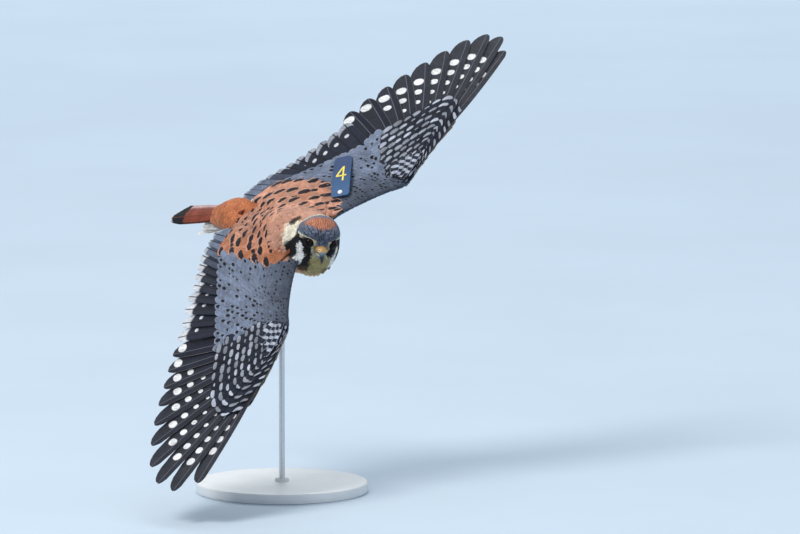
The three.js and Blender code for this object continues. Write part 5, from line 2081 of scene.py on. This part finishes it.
def camera():
    data = bpy.data.cameras.new("camera")
    data.sensor_width = SENSOR
    data.lens = SENSOR * DISTANCE / (PICTURE_WIDE * PIXEL * MM)
    data.clip_start = 1
    data.clip_end = 60
    tilt = math.radians(ELEVATION)
    up = Vector((0, math.sin(tilt), math.cos(tilt)))
    back = Vector((0, -math.cos(tilt), math.sin(tilt)))
    right = Vector((1, 0, 0))
    aim = Vector((0, 0, BODY_HEIGHT * MM))
    aim += right * (PICTURE_WIDE / 2 - BIRD_PIXEL[0]) * PIXEL * MM
    aim -= up * (PICTURE_HIGH / 2 - BIRD_PIXEL[1]) * PIXEL * MM
    thing = linked("camera", data)
    thing.location = aim + back * DISTANCE
    thing.rotation_euler = (-back).to_track_quat("-Z", "Y").to_euler()
    bpy.context.scene.camera = thing


def skin_piece(skin):
    """Gives the skin its colours and its place in the part."""
    x, y, _ = skin.points.T
    colours = coat_colour(skin.points)
    on_wing = np.zeros(len(skin.points), bool)
    on_wing[skin.quads[np.char.startswith(skin.labels, "wing")].ravel()] = True
    colours[on_wing & (np.abs(y) - rufous_reach(x, np.sign(y)) > -4)] = SLATE * 1.2
    colours[on_wing & (skin.normals @ ARM_UP < 0)] = CREAM
    skin.mesh.vertices.foreach_set("co", in_part(skin.points).astype(np.float32).ravel())
    skin.mesh.update()
    set_colour(skin.mesh, "ground", colours)
    piece("skin", skin.mesh, SKIN, (
        "head", "neck", "torso", "tail", "thigh_left", "thigh_right",
        "wing_left_arm", "wing_left_hand", "wing_right_arm", "wing_right_hand",
    ))


def build():
    bpy.context.scene.view_settings.view_transform = "Standard"
    camera()
    lights()
    stage()
    skin = Skin(*build_skin())
    skin_piece(skin)
    head_coat(skin, np.random.default_rng(11))
    beds = {name: {above: Bed(wing, above) for above in (1, -1)} for name, wing in WING.items()}
    back = Back([skin.tree] + [found[1].tree() for found in beds.values()])
    back_coat(back, np.random.default_rng(12))
    body_coat(skin, np.random.default_rng(13))
    thigh_coat(skin, np.random.default_rng(14))
    for number, wing in enumerate(WING.values()):
        wing_coat(wing, beds[wing.name], np.random.default_rng(20 + number))
        flight_feathers(wing, np.random.default_rng(30 + number))
        alula(wing, np.random.default_rng(40 + number))
    tail_feathers(np.random.default_rng(50))
    tail_coverts(np.random.default_rng(51))
    bill_and_cere()
    eyes_and_lids()
    legs()
    tag_plate()
    tag_number()
    tag_rivet()
    stand()


PLUMAGE = plumage("plumage")
MANTLE = plumage("mantle_plumage", streaks=0.42, ragged=1.0)
SKIN = skin_down()
HORN = horn("horn", 0.38, 0.12, 700.0)
SCUTE = plain("scute", (0.68, 0.44, 0.09), 0.45, scale=900.0, dapple=0.15)
CLAW = horn("claw", 0.25, 0.2, 500.0)
EYE_GLOSS = eye_gloss()
TAG_CLOTH = horn("tag_cloth", 0.5, 0.18, 1800.0)
TAG_INK = plain("tag_ink", (0.90, 0.72, 0.10), 0.55, scale=900.0, dapple=0.08)
RIVET = plain("rivet", (0.80, 0.80, 0.79), 0.35, scale=400.0, dapple=0.05)
STEEL = plain("steel", (0.62, 0.63, 0.65), 0.32, scale=900.0, dapple=0.08, metallic=1.0)
LACQUER = plain("lacquer", (0.74, 0.76, 0.78), 0.42, scale=60.0, dapple=0.03, coat_weight=0.3)

build()
